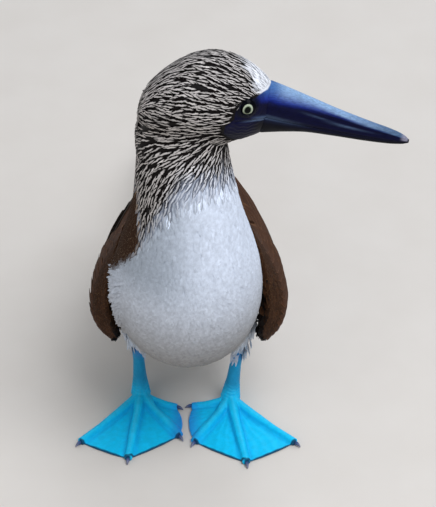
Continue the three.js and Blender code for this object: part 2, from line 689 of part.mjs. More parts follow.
for (const leg of FEET) {
  const { side, label } = leg;
  const wingSurface = wingFace(side);
  const wing = join([wingArm(wingSurface), ...wingFeathers(wingSurface)]);
  bird.add(
    toMesh(`eye_${label}`, ball(eyeCentre(side), EYE.radius), eyeball),
    toMesh(`wing_${label}`, wing.subtract(grownFlesh), brownFeather),
    toMesh(`thigh_${label}`, thigh(leg, 0).subtract(grownTrunk), whiteDown),
    toMesh(`tarsus_${label}`, tarsus(leg).subtract(grownFlesh), footSkin),
    toMesh(`foot_${label}`, foot(leg), footSkin),
    ...TOES.map((toe, i) => toMesh(`claw_${label}_${toe.name}`, claw(leg, toe, i), clawHorn)),
  );
}
bird.add(toMesh("tail", join([tailStub(), ...tailFeathers()]).subtract(grownFlesh), tailFeather));

const extent = new THREE.Box3().setFromObject(bird);
const middle = extent.getCenter(vector(0, 0, 0));
bird.position.set(-middle.x, -middle.y, -extent.min.z);

export default bird;
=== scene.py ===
"""A life-size blue-footed booby on both webbed feet, its head turned over its left shoulder.

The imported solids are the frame. One skin takes the place of the trunk, neck, head and thighs, and feathers
are laid over it as closed vanes. Wings and tail are built feather by feather, and bill, eyes, legs and claws
are finer pieces on the places of their solids. Sizes are in millimetres of the bird's own frame, whose zero
lies on the floor between the feet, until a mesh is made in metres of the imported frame. In it x runs to the
bird's left, y to its tail and z up.
"""
import logging
import math
from dataclasses import dataclass
from enum import Enum
from typing import Callable, Sequence

import bmesh
import bpy
import numpy as np
from bpy.types import GeometryNodeTree, ID, Material, Mesh, Node, NodeSocket, NodeTree, Object
from mathutils import Matrix, Vector
from mathutils.bvhtree import BVHTree


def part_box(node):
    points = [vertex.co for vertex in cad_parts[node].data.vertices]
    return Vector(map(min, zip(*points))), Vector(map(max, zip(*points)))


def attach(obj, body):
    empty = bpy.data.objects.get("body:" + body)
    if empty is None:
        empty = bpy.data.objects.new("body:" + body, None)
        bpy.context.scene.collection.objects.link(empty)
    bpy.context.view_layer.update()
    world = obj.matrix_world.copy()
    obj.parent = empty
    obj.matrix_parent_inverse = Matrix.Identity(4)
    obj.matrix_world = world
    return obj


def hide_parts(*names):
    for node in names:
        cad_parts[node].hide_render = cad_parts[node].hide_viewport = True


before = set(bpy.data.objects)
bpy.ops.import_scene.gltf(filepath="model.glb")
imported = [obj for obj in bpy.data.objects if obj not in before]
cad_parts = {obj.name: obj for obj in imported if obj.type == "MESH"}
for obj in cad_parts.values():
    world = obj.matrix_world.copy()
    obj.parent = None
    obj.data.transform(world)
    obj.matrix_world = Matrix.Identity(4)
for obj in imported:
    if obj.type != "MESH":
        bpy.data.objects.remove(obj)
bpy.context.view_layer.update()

log = logging.getLogger("booby")
MM = 0.001
SIDES = {"left": 1, "right": -1}
BAKE_MAP = "OFBake"
VANE_MAP = "vane"
# edges of a feather sharper than this aren't shaded smooth, so that its face looks flat
RIM_DEGREES = 55
# x of the trunk's middle plane
MIDLINE = 5.7
Array = np.ndarray


def linear(code: str) -> Array:
    """Turns an sRGB hex colour into linear light.

    Args:
        code: six hex digits after a hash.

    Returns:
        Three linear values.
    """
    values = np.array([int(code[i : i + 2], 16) for i in (1, 3, 5)]) / 255
    return np.where(values <= 0.04045, values / 12.92, ((values + 0.055) / 1.055) ** 2.4)


def smooth(values: Array, low: float = 0.0, high: float = 1.0) -> Array:
    """Rises smoothly from 0 at low to 1 at high."""
    share = np.clip((np.asarray(values, float) - low) / (high - low), 0, 1)
    return share * share * (3 - 2 * share)


def unit(vectors: Array) -> Array:
    """Scales vectors to length one along the last axis."""
    return vectors / np.maximum(np.linalg.norm(vectors, axis=-1, keepdims=True), 1e-9)


def blend(a: Array, b: Array, weight: Array) -> Array:
    """Mixes rows of a and b by a weight for each row."""
    return a + (b - a) * np.asarray(weight)[..., None]


def plain(code: str, count: int) -> Array:
    """Gives every row one sRGB hex colour."""
    return np.tile(linear(code), (count, 1))


def layered(colours: Array, *layers: tuple[str, Array]) -> Array:
    """Lays sRGB hex colours over others.

    Args:
        colours: the linear colours below, one row for each place.
        layers: each colour, and how much of it shows at each place.

    Returns:
        Linear colours.
    """
    for code, weight in layers:
        colours = blend(colours, linear(code), weight)
    return colours


def hump(values: Array, at: float, width: float) -> Array:
    """Rises to 1 at one value and falls to 0 on both sides of it."""
    return np.exp(-(((values - at) / width) ** 2))


def laid(ways: Array, normals: Array) -> Array:
    """Lays directions down into the planes of their normals."""
    return unit(ways - normals * (ways * normals).sum(1, keepdims=True))


def turned(ways: Array, normals: Array, degrees: Array) -> Array:
    """Turns directions about their normals."""
    angle = np.radians(degrees)[:, None]
    return unit(ways * np.cos(angle) + np.cross(normals, ways) * np.sin(angle))


def curve(points: Sequence[Sequence[float]], shares: Array) -> Array:
    """Reads a centripetal Catmull-Rom curve.

    Args:
        points: what the curve runs through.
        shares: places along it, each span of two points being alike.

    Returns:
        One row for each share.
    """
    given = np.asarray(points, float)
    knots = np.vstack([2 * given[0] - given[1], given, 2 * given[-1] - given[-2]])
    place = np.clip(np.asarray(shares, float), 0, 1) * (len(given) - 1)
    span = np.minimum(place.astype(int), len(given) - 2)
    p0, p1, p2, p3 = (knots[span + k] for k in range(4))
    gap = [np.maximum(np.linalg.norm(b - a, axis=-1, keepdims=True) ** 0.5, 1e-4)
           for a, b in ((p0, p1), (p1, p2), (p2, p3))]
    start = ((p1 - p0) / gap[0] - (p2 - p0) / (gap[0] + gap[1]) + (p2 - p1) / gap[1]) * gap[1]
    end = ((p2 - p1) / gap[1] - (p3 - p1) / (gap[1] + gap[2]) + (p3 - p2) / gap[2]) * gap[1]
    t = (place - span)[..., None]
    return p1 + start * t + (3 * (p2 - p1) - 2 * start - end) * t**2 + (2 * (p1 - p2) + start + end) * t**3


def rotation(axis: int, degrees: float) -> Array:
    """Matrix of a turn about x, y or z."""
    return np.array(Matrix.Rotation(math.radians(degrees), 3, "XYZ"[axis]))


@dataclass
class Bird:
    """Places on the bird: its own millimetres, those of its head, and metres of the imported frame.

    The head's frame has x forward along the bill, y to its left, z up and its zero between the eyes.
    """

    head_centre: tuple[float, float, float] = (48.7, -50.7, 339)
    head_turn: float = 89
    head_pitch: float = -12
    head_roll: float = 12
    eye_ahead: float = 0.5
    eye_side: float = 16.6

    def __post_init__(self) -> None:
        """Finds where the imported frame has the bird, from its eyes."""
        yaw, pitch, roll = self.head_turn - 90, -self.head_pitch, -self.head_roll
        self.turn = rotation(2, yaw) @ rotation(1, pitch) @ rotation(0, roll)
        corners = [np.array(corner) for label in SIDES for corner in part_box(f"eye_{label}")]
        between = sum(corners) / len(corners) / MM
        self.shift = between - self.from_head(np.array([self.eye_ahead, 0, 0]))

    def from_head(self, p: Array) -> Array:
        """The head's millimetres as the bird's."""
        return p @ self.turn.T + np.array(self.head_centre)

    def to_head(self, p: Array) -> Array:
        """The bird's millimetres as the head's."""
        return (p - np.array(self.head_centre)) @ self.turn

    def metres(self, p: Array) -> Array:
        """The bird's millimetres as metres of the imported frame."""
        return (p + self.shift) * MM

    def own(self, p: Array) -> Array:
        """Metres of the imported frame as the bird's millimetres."""
        return p / MM - self.shift

    def eye(self, side: int) -> Array:
        """Middle of the eyeball on one side."""
        return self.from_head(np.array([self.eye_ahead, side * self.eye_side, 0]))


BIRD = Bird()


def linked(name: str, data: ID) -> Object:
    """Puts an object of a mesh, camera or light in the scene.

    Args:
        name: the object's name.
        data: what it shows.

    Returns:
        The object, unmoved.
    """
    made = bpy.data.objects.new(name, data)
    bpy.context.scene.collection.objects.link(made)
    return made


def enter(made: Object, slot: str, *nodes: str) -> Object:
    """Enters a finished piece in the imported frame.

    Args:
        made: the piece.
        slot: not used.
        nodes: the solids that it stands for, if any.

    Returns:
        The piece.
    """
    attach(made, "root")
    if nodes:
        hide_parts(*nodes)
    return made


def shade_smooth(mesh: Mesh) -> None:
    """Shades every face of a mesh smooth."""
    mesh.polygons.foreach_set("use_smooth", [True] * len(mesh.polygons))


def make_object(name: str, points: Array, faces: list) -> Object:
    """Makes a mesh object from the bird's millimetres.

    Args:
        name: the piece's name.
        points: its vertices.
        faces: lists of vertex numbers.

    Returns:
        The object, shaded smooth.
    """
    mesh = bpy.data.meshes.new(name)
    mesh.from_pydata(BIRD.metres(np.asarray(points, float)).tolist(), [], [list(map(int, f)) for f in faces])
    mesh.update()
    shade_smooth(mesh)
    return linked(name, mesh)


def outward(mesh: Mesh) -> None:
    """Turns a closed mesh's faces to point outwards.

    Args:
        mesh: what is turned.
    """
    made = bmesh.new()
    made.from_mesh(mesh)
    bmesh.ops.recalc_face_normals(made, faces=made.faces)
    made.to_mesh(mesh)
    made.free()


def rows_of(items: bpy.types.bpy_prop_collection, field: str, width: int, kind: type = np.float32) -> Array:
    """Reads one field of every item.

    Args:
        items: vertices, edges, loops or the like.
        field: what is read.
        width: how many numbers it has.
        kind: of number.

    Returns:
        A row for each item.
    """
    flat = np.empty(len(items) * width, kind)
    items.foreach_get(field, flat)
    return flat.reshape(-1, width)


def points_of(mesh: Mesh) -> Array:
    """A mesh's vertices in the bird's millimetres."""
    return BIRD.own(rows_of(mesh.vertices, "co", 3).astype(float))


def normals_of(mesh: Mesh) -> Array:
    """A mesh's vertex normals."""
    return rows_of(mesh.vertices, "normal", 3).astype(float)


def move_points(mesh: Mesh, points: Array) -> None:
    """Puts a mesh's vertices at the bird's millimetres."""
    mesh.vertices.foreach_set("co", BIRD.metres(points).astype(np.float32).ravel())
    mesh.update()


def paint(mesh: Mesh, name: str, colours: Array) -> None:
    """Stores a colour for each vertex.

    Args:
        mesh: what is painted.
        name: the attribute that a finish reads.
        colours: linear colours, one row for each vertex.
    """
    layer = mesh.attributes.new(name, "FLOAT_COLOR", "POINT")
    rows = np.hstack([colours, np.ones((len(colours), 1))]).astype(np.float32)
    layer.data.foreach_set("color", rows.ravel())


def loft(name: str, rings: Array, capped: bool = True) -> Object:
    """Skins a row of closed rings and closes its ends.

    Args:
        name: the piece's name.
        rings: rings by points by three, in the bird's millimetres.
        capped: whether both ends get a fan.

    Returns:
        A closed object with its faces outwards.
    """
    count, sides = rings.shape[:2]
    points = rings.reshape(-1, 3)
    faces = [
        (r * sides + k, r * sides + (k + 1) % sides, (r + 1) * sides + (k + 1) % sides, (r + 1) * sides + k)
        for r in range(count - 1)
        for k in range(sides)
    ]
    if capped:
        points = np.vstack([points, rings[0].mean(0), rings[-1].mean(0)])
        hub = count * sides
        last = (count - 1) * sides
        faces += [(hub, (k + 1) % sides, k) for k in range(sides)]
        faces += [(hub + 1, last + k, last + (k + 1) % sides) for k in range(sides)]
    made = make_object(name, points, faces)
    outward(made.data)
    return made


def evaluated(made: Object) -> Mesh:
    """A plain mesh of an object with its modifiers carried out.

    Args:
        made: the object.

    Returns:
        A new mesh.
    """
    graph = bpy.context.evaluated_depsgraph_get()
    return bpy.data.meshes.new_from_object(
        made.evaluated_get(graph), preserve_all_data_layers=True, depsgraph=graph)


def settle(made: Object) -> None:
    """Carries out an object's modifiers and removes them.

    Args:
        made: the object, whose mesh is replaced.
    """
    mesh = evaluated(made)
    made.modifiers.clear()
    old = made.data
    made.data = mesh
    bpy.data.meshes.remove(old)


def node(tree: NodeTree, kind: str, inputs: dict | None = None,
         **settings: object) -> Node:
    """Adds a node.

    Args:
        tree: where it goes.
        kind: its type.
        inputs: a value, or a socket to link, for each input named or numbered.
        settings: its own properties.

    Returns:
        The new node.
    """
    made = tree.nodes.new(kind)
    for name, value in settings.items():
        setattr(made, name, value)
    for key, value in (inputs or {}).items():
        if isinstance(value, NodeSocket):
            tree.links.new(value, made.inputs[key])
        else:
            made.inputs[key].default_value = value
    return made


class Maths(Enum):
    """Steps that a finish's pattern is worked out with."""

    ADD = "ADD"
    SUBTRACT = "SUBTRACT"
    MULTIPLY = "MULTIPLY"
    ABSOLUTE = "ABSOLUTE"
    MAXIMUM = "MAXIMUM"
    SINE = "SINE"


class Shader:
    """A material being put together around one Principled shader."""

    def __init__(self, name: str, roughness: float, **constants: float) -> None:
        """Starts a material.

        Args:
            name: the material's name.
            roughness: of its shader.
            constants: other sockets of the shader that are the same all over.
        """
        self.material = bpy.data.materials.new(name)
        self.material.use_nodes = True
        self.tree = self.material.node_tree
        self.tree.nodes.clear()
        sockets = {key.replace("_", " "): value for key, value in constants.items()}
        self.principled = node(self.tree, "ShaderNodeBsdfPrincipled", {"Roughness": roughness, **sockets})
        node(self.tree, "ShaderNodeOutputMaterial", {"Surface": self.principled.outputs[0]})
        self.place = node(self.tree, "ShaderNodeTexCoord").outputs["Object"]

    def attribute(self, name: str) -> NodeSocket:
        """Colour stored on the mesh."""
        return node(self.tree, "ShaderNodeAttribute", attribute_name=name).outputs["Color"]

    def math(self, step: Maths, a: object, b: object = 0.0) -> NodeSocket:
        """One step of arithmetic."""
        return node(self.tree, "ShaderNodeMath", {0: a, 1: b}, operation=step.value).outputs[0]

    def ramp(self, value: object, low: float, high: float, to: tuple = (0.0, 1.0)) -> NodeSocket:
        """Smooth rise of a value from one range to another."""
        inputs = {"Value": value, "From Min": low, "From Max": high, "To Min": to[0], "To Max": to[1]}
        return node(self.tree, "ShaderNodeMapRange", inputs, interpolation_type="SMOOTHSTEP").outputs[0]

    def mix(self, factor: object, a: object, b: object, way: str = "MIX") -> NodeSocket:
        """Mix of two colours."""
        made = node(self.tree, "ShaderNodeMix", {0: factor, 6: a, 7: b}, data_type="RGBA", blend_type=way)
        return made.outputs[2]

    def toned(self, colour: object, tone: object) -> NodeSocket:
        """Colour made lighter or darker by a tone, which is 1 where nothing changes."""
        grey = node(self.tree, "ShaderNodeCombineColor", {0: tone, 1: tone, 2: tone}).outputs[0]
        return self.mix(1.0, colour, grey, "MULTIPLY")

    def noise(self, size_mm: float, detail: float = 3, stretch: tuple = (1, 1, 1)) -> NodeSocket:
        """Noise over Object coordinates with lumps of a real size.

        Args:
            size_mm: size of its lumps.
            detail: how many finer layers it has.
            stretch: how much finer it is along each axis.

        Returns:
            A value about 0.5.
        """
        moved = node(self.tree, "ShaderNodeMapping", {"Vector": self.place, "Scale": stretch}).outputs[0]
        inputs = {"Vector": moved, "Scale": 1 / (size_mm * MM), "Detail": detail}
        return node(self.tree, "ShaderNodeTexNoise", inputs).outputs[0]

    def bump(self, height: object, depth_mm: float, strength: float = 1.0, below: object = None) -> object:
        """Bump of a real depth, over another if given.

        Args:
            height: the pattern that is raised.
            depth_mm: how far.
            strength: share of it that shows.
            below: a bump under this one.

        Returns:
            A normal.
        """
        inputs = {"Height": height, "Distance": depth_mm * MM, "Strength": strength}
        if below is not None:
            inputs["Normal"] = below
        return node(self.tree, "ShaderNodeBump", inputs).outputs[0]

    def finish(self, colour: object, normal: object = None, roughness: object = None) -> Material:
        """Links what was worked out to the shader.

        Args:
            colour: for the base colour.
            normal: for the normal, if any.
            roughness: for the roughness, if it varies.

        Returns:
            The material.
        """
        self.tree.links.new(colour, self.principled.inputs["Base Color"])
        if normal is not None:
            self.tree.links.new(normal, self.principled.inputs["Normal"])
        if roughness is not None:
            self.tree.links.new(roughness, self.principled.inputs["Roughness"])
        return self.material


class Pattern(Enum):
    """Where a feather is pale."""

    PALE_STROKE = "stroke"
    PALE_EDGE = "edge"


@dataclass(frozen=True)
class Plumage:
    """Keratin barbs, matt and soft: the light and the dark colour of each feather are stored on the mesh."""

    name: str
    pattern: Pattern
    roughness: float = 0.72
    barbs: float = 26
    gloss: float = 0.06
    waver: float = 0.0
    barb_slant: float = 1.6
    barb_depth: float = 0.05

    def build(self) -> Material:
        """Makes the finish: a pattern over each vane, fine barbs and a little unevenness.

        Returns:
            The material.
        """
        made = Shader(self.name, self.roughness, IOR=1.4, Specular_IOR_Level=self.gloss)
        vane = node(made.tree, "ShaderNodeUVMap", uv_map=VANE_MAP).outputs[0]
        split = node(made.tree, "ShaderNodeSeparateXYZ", {0: vane})
        along, across = split.outputs[0], split.outputs[1]
        sway = made.ramp(made.noise(2.4, 2), 0.25, 0.75, (-self.waver, self.waver))
        bent = made.math(Maths.ADD, across, sway)
        off = made.math(Maths.ABSOLUTE, made.math(Maths.SUBTRACT, bent, 0.5))
        if self.pattern is Pattern.PALE_STROKE:
            pale = made.math(Maths.MULTIPLY, made.ramp(along, 0.1, 0.34), made.ramp(off, 0.25, 0.1))
        else:
            pale = made.math(Maths.MAXIMUM, made.ramp(along, 0.92, 1.0), made.ramp(off, 0.44, 0.5))
        colour = made.mix(pale, made.attribute("shade"), made.attribute("tint"))
        slant = made.math(Maths.ADD, made.math(Maths.MULTIPLY, along, self.barb_slant), off)
        barb = made.math(Maths.SINE, made.math(Maths.MULTIPLY, slant, self.barbs * 6.28))
        tone = made.ramp(made.noise(3.0), 0.3, 0.7, (0.9, 1.06))
        return made.finish(made.toned(colour, tone), made.bump(barb, self.barb_depth, 0.35))


@dataclass(frozen=True)
class BareSkin:
    """Skin under the coat and on the face: fine pebbly leather, its colour stored on the mesh."""

    name: str
    roughness: float
    grain_mm: float
    grain_depth: float
    mottle: float = 0.16

    def build(self) -> Material:
        """Makes the finish: stored colour, pebbles from cells, and soft unevenness.

        Returns:
            The material.
        """
        made = Shader(self.name, self.roughness, IOR=1.45, Specular_IOR_Level=0.14)
        inputs = {"Vector": made.place, "Scale": 1 / (self.grain_mm * MM)}
        pebbles = node(made.tree, "ShaderNodeTexVoronoi", inputs).outputs[0]
        tone = made.ramp(made.noise(self.grain_mm * 4), 0.3, 0.7, (1 - self.mottle, 1 + self.mottle * 0.7))
        colour = made.toned(made.attribute("tint"), tone)
        return made.finish(colour, made.bump(pebbles, self.grain_depth, 0.6))


@dataclass(frozen=True)
class Horn:
    """Bill and claws: smooth keratin with faint growth lines along it and a soft gloss."""

    name: str
    roughness: float = 0.42
    line_mm: float = 0.9

    def build(self) -> Material:
        """Makes the finish: stored colour, streaks drawn out along the bill, fine scratches.

        Returns:
            The material.
        """
        made = Shader(self.name, self.roughness, IOR=1.4, Coat_Weight=0.02, Coat_Roughness=0.3,
                      Specular_IOR_Level=0.14)
        lines = made.noise(self.line_mm, 4, (0.12, 1, 1))
        colour = made.toned(made.attribute("tint"), made.ramp(lines, 0.3, 0.7, (0.8, 1.2)))
        gloss = made.ramp(made.noise(5), 0.3, 0.7, (self.roughness - 0.08, self.roughness + 0.1))
        return made.finish(colour, made.bump(lines, 0.12, 0.5), gloss)


@dataclass(frozen=True)
class EyeFinish:
    """Wet eyeball: pale iris with fine rays, dark rim and oval pupil, under a clear cornea."""

    name: str
    side: int
    pupil_mm: float = 2.1
    iris_mm: float = 3.75
    ahead_mm: float = 1.0
    down_mm: float = 1.9
    squeeze: float = 0.76
    ring_mm: float = 0.9
    edge_mm: float = 0.15

    def build(self) -> Material:
        """Makes the finish round the eye's own axis.

        Returns:
            The material.
        """
        made = Shader(self.name, 0.3, IOR=1.33, Coat_Weight=0.04, Coat_Roughness=0.03,
                      Specular_IOR_Level=0.03)
        looking = BIRD.turn @ np.array([self.ahead_mm, 0, -self.down_mm])
        centre = BIRD.metres(BIRD.eye(self.side) + looking)
        moved = node(made.tree, "ShaderNodeVectorMath", {0: made.place, 1: tuple(centre)},
                     operation="SUBTRACT")
        forward, upward = BIRD.turn[:, 0], BIRD.turn[:, 2]
        dots = [
            node(made.tree, "ShaderNodeVectorMath", {0: moved.outputs[0], 1: tuple(axis / MM)},
                 operation="DOT_PRODUCT").outputs["Value"]
            for axis in (forward, upward * self.squeeze)
        ]
        flat = node(made.tree, "ShaderNodeCombineXYZ", {0: dots[0], 1: dots[1]})
        measured = node(made.tree, "ShaderNodeVectorMath", {0: flat.outputs[0]}, operation="LENGTH")
        reach = measured.outputs["Value"]
        rays = node(made.tree, "ShaderNodeTexNoise", {"Vector": flat.outputs[0], "Scale": 1.6, "Detail": 4})
        iris = made.mix(rays.outputs[0], (*linear("#879478"), 1), (*linear("#d3dbc4"), 1))
        in_iris = made.ramp(reach, self.pupil_mm, self.pupil_mm + self.ring_mm)
        ringed = made.mix(in_iris, (*linear("#3f4d3a"), 1), iris)
        past_iris = made.ramp(reach, self.iris_mm - 0.4, self.iris_mm + 0.1)
        rimmed = made.mix(past_iris, ringed, (*linear("#05060c"), 1))
        in_pupil = made.ramp(reach, self.pupil_mm + self.edge_mm, self.pupil_mm - self.edge_mm)
        return made.finish(made.mix(in_pupil, rimmed, (0.004, 0.005, 0.004, 1)))


@dataclass(frozen=True)
class FloorFinish:
    """Plain pale plaster, matt."""

    name: str = "pale_plaster"

    def build(self) -> Material:
        """Makes the finish with a trace of unevenness.

        Returns:
            The material.
        """
        made = Shader(self.name, 0.9)
        colour = made.mix(made.noise(60), (*linear("#d3ccc2"), 1), (*linear("#dbd5cc"), 1))
        return made.finish(colour)


class Markings:
    """Colours of coat and skin as functions of the place on the bird."""

    pale_streak = linear("#c0bab5")
    dark_streak = linear("#0e0a09")
    grey_streak = linear("#878e9e")
    white = linear("#dfe8f6")
    # grey of the painted shade low on the belly
    shaded_low_white = linear("#969492")
    # grey-blue of the painted shade on the breast's right side
    shaded_side_white = linear("#a3adb8")
    forehead_white = linear("#f0f2f6")
    brown = linear("#3a271b")
    brown_edge = linear("#8a7560")
    navy = linear("#04052a")
    face_blue = linear("#080d46")
    face_middle = (4.0, 0.0, -8.0)
    neck_axis = (3.0, -62.0)
    white_starts = ((-180, 236), (-135, 226), (-90, 226), (-45, 243), (-37, 257), (-25, 270), (-12, 282),
                    (4, 291), (26, 294), (49, 293), (85, 287), (130, 262), (180, 236))
    shoulder_edge = ((170, -54), (180, -50), (207, -41), (223, -32), (230, -28), (241, -25.6), (278, -26.5))
    face_edge = ((0, 16.6), (16, 15.2), (27, 13.9), (40, 9.7), (54, 5.5), (60, 1.4), (66, -2.4), (76, -6.3),
                 (87, -6.8), (100, -6.4), (113, -11.8), (128, -11.4), (145, -5.1), (165, 2), (180, 4))

    def streaks(self, p: Array) -> Array:
        """How strongly the feathers at these places are streaked, 1 on the head.

        Args:
            p: places on the bird.

        Returns:
            A share for each place.
        """
        angle = np.degrees(np.arctan2(p[:, 0] - self.neck_axis[0], -(p[:, 1] - self.neck_axis[1])))
        start = np.interp(angle, *np.array(self.white_starts).T)
        return smooth(p[:, 2] - start, -18, 18) * (1 - self.shoulder(p))

    def shoulder(self, p: Array) -> Array:
        """1 on the brown feathers that come forward round the right shoulder.

        Args:
            p: places on the bird.

        Returns:
            A share for each place.
        """
        edge = np.interp(p[:, 2], *np.array(self.shoulder_edge).T)
        return smooth(edge - p[:, 0], -0.5, 2.5) * smooth(p[:, 2], 284, 274) * smooth(p[:, 2], 178, 192)

    def face(self, p: Array, feather: float = 0.5) -> Array:
        """1 on the bare skin round the eye and the gape, 0 where feathers grow.

        Args:
            p: places on the bird.
            feather: half the width of the soft edge in mm.

        Returns:
            A share for each place.
        """
        head = BIRD.to_head(p)
        angle = np.degrees(np.arctan2(np.abs(head[:, 1]), head[:, 2] + 7))
        near = smooth(np.linalg.norm(head - np.array(self.face_middle), axis=1), 42, 36)
        return near * smooth(head[:, 0] - np.interp(angle, *np.array(self.face_edge).T), -feather, feather)

    @staticmethod
    def over_gape(head: Array) -> Array:
        """Height of places in the head's frame over the line at which the gape closes, in mm."""
        return head[:, 2] + 11.5 - 0.12 * (head[:, 0] - 8)

    def forehead(self, p: Array) -> Array:
        """1 on the white feathers over the bill's base.

        Args:
            p: places on the bird.

        Returns:
            A share for each place.
        """
        head = BIRD.to_head(p)
        aside = smooth(np.abs(head[:, 1]) - 0.5 * head[:, 0], 12, 8)
        return smooth(head[:, 0] + 0.25 * head[:, 2], 0, 12) * smooth(head[:, 2], 2, 9) * aside

    def mantle(self, p: Array) -> Array:
        """1 on the brown feathers of back and shoulders.

        Args:
            p: places on the bird.

        Returns:
            A share for each place.
        """
        heights = [190, 265]
        edge = np.where(p[:, 0] < MIDLINE, np.interp(p[:, 2], heights, [-50, -86]),
                        np.interp(p[:, 2], heights, [-24, -46]))
        behind = smooth(p[:, 1] - edge, -5, 5)
        high = smooth(p[:, 2], 176, 192) * smooth(p[:, 2], 262, 248)
        wing_top = np.interp(p[:, 1], [-31, 26, 66, 118, 178], [229, 165, 146, 130, 118])
        low = smooth(p[:, 2] - wing_top, -16, -8)
        nape = ((p[:, 0] - 3) / 17) ** 2 + ((p[:, 2] - 262) / 17) ** 2
        white_nape = smooth(nape, 1.25, 0.7) * (p[:, 1] > -60)
        mantle = behind * np.maximum(high, low) * (1 - white_nape) * smooth(p[:, 1], 122, 96)
        return np.maximum(mantle, self.shoulder(p))

    def tints(self, p: Array) -> tuple[Array, Array]:
        """Pale and dark colour of a feather rooted at each place, with painted shade low on the belly and on
        the breast's right side.

        Args:
            p: places on the bird.

        Returns:
            Linear colours, the pale ones first.
        """
        # painted shade: the white turns grey low on the front of the belly, which the light from above
        # doesn't reach
        lower = smooth(p[:, 2], 225, 100) * smooth(p[:, 1], 40, -10)
        white = blend(np.broadcast_to(self.white, p.shape), self.shaded_low_white, lower)
        # painted shade: the breast's right side, turned away from the light, is greyer
        side_shade = smooth(-p[:, 0], -26, 16) * smooth(p[:, 2], 178, 220)
        white = blend(white, self.shaded_side_white, 0.8 * side_shade)
        streak = self.streaks(p)
        brown = self.mantle(p) * (1 - streak)
        tint = blend(blend(white, self.brown_edge, brown), self.pale_streak, streak)
        grey = smooth(streak, 0, 0.4) * (1 - brown)
        shade = blend(blend(white * 0.94, self.brown, brown), self.grey_streak, grey)
        shade = blend(shade, self.dark_streak, smooth(streak, 0.15, 0.85))
        top = self.forehead(p)
        return blend(tint, self.forehead_white, top), blend(shade, self.forehead_white * 0.8, top)

    def horn(self, high: Array, share: Array) -> Array:
        """Colour of the bill, with a painted sky reflection on the ridge and a painted highlight along the
        groove.

        Args:
            high: height from 0 at the gape to 1 on the ridge.
            share: place from 0 at the base to 1 at the tip.

        Returns:
            Light blue on the ridge, which is the bill's blue under a painted sky reflection, navy down the
            sides, near black below.
        """
        # painted sky reflection: the ridge is lighter than the bill's own blue, brightest near the base and
        # dimmer towards the tip
        ridge = layered(plain("#41699c", len(high)), ("#86a5c6", smooth(share, 0.0, 0.12)),
                        ("#4e6680", smooth(share, 0.45, 0.95)))
        middle = layered(plain("#16267c", len(high)), ("#1d3161", smooth(share, 0.3, 0.9)))
        low = 0.46 + 0.38 * smooth(share, 0.05, 0.6)
        colours = blend(plain("#050626", len(high)), middle, smooth(high, low - 0.04, low + 0.16))
        colours = blend(colours, ridge, smooth(high, low + 0.06, 1.04))
        gape = 0.5 * hump(high, 0, 0.06) * smooth(share, 0.35, 0.0)
        # painted highlight: a pale line along the groove on the bill's side
        groove = 0.22 * hump(high, 0.48, 0.035) * smooth(share, 0.15, 0.5)
        worn = 0.8 * smooth(share, 0.93, 0.965) * smooth(high, 0.1, 0.5)
        return layered(colours, ("#04050c", smooth(high, 0.12, -0.35)), ("#5f7698", gape),
                       ("#7f9cc0", groove), ("#8f8c9c", worn), ("#20222c", smooth(share, 0.985, 1.0)))

    def skin(self, p: Array) -> Array:
        """Colour of the skin itself, which shows between feathers and on the face.

        Args:
            p: places on the bird.

        Returns:
            Linear colours.
        """
        tint, shade = self.tints(p)
        head = BIRD.to_head(p)
        bare = blend(np.broadcast_to(self.navy, p.shape), self.face_blue, smooth(head[:, 2], -6, 8))
        # near its base the face takes the bill's colours, with the ridge's painted sky reflection
        bare = blend(bare, self.horn((head[:, 2] + 9) / 23.2, np.zeros(len(p))), smooth(head[:, 0], 3, 15))
        from_eye = np.hypot(head[:, 0] - BIRD.eye_ahead, head[:, 2])
        gape = smooth(np.abs(self.over_gape(head)), 1.1, 0.3) * smooth(head[:, 0], -4, 10)
        bare = layered(bare, ("#05060f", 0.9 * smooth(from_eye, 12, 6.5)),
                       ("#06071e", smooth(head[:, 2], -17, -26)), ("#5d6f8c", 0.75 * gape))
        return blend(blend(tint, shade, 0.4 + 0.6 * self.streaks(p)), bare, self.face(p))


MARKINGS = Markings()


def swollen_copies(name: str, nodes: Sequence[str], swell: float) -> Object:
    """Puts copies of solids in one mesh, each swollen so that the thin cuts between them close.

    Args:
        name: the new object's name.
        nodes: the solids.
        swell: how far each grows, in mm.

    Returns:
        The object, still of separate shells.
    """
    made = bmesh.new()
    for source in nodes:
        part = bmesh.new()
        part.from_mesh(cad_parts[source].data)
        bmesh.ops.remove_doubles(part, verts=part.verts, dist=1e-6)
        for vert in part.verts:
            vert.co += vert.normal * swell * MM
        copy = bpy.data.meshes.new("copy")
        part.to_mesh(copy)
        part.free()
        made.from_mesh(copy)
        bpy.data.meshes.remove(copy)
    mesh = bpy.data.meshes.new(name)
    made.to_mesh(mesh)
    made.free()
    return linked(name, mesh)


def fuse(made: Object, voxel: float, smoothing: int) -> None:
    """Makes one smooth closed skin of a mesh of several shells, with steps of voxel mm.

    Args:
        made: the object, whose mesh is replaced.
        voxel: step of the new mesh in mm.
        smoothing: how often it is smoothed.
    """
    remesh = made.modifiers.new("remesh", "REMESH")
    remesh.mode = "VOXEL"
    remesh.voxel_size = voxel * MM
    ease = made.modifiers.new("ease", "SMOOTH")
    ease.iterations = smoothing
    settle(made)


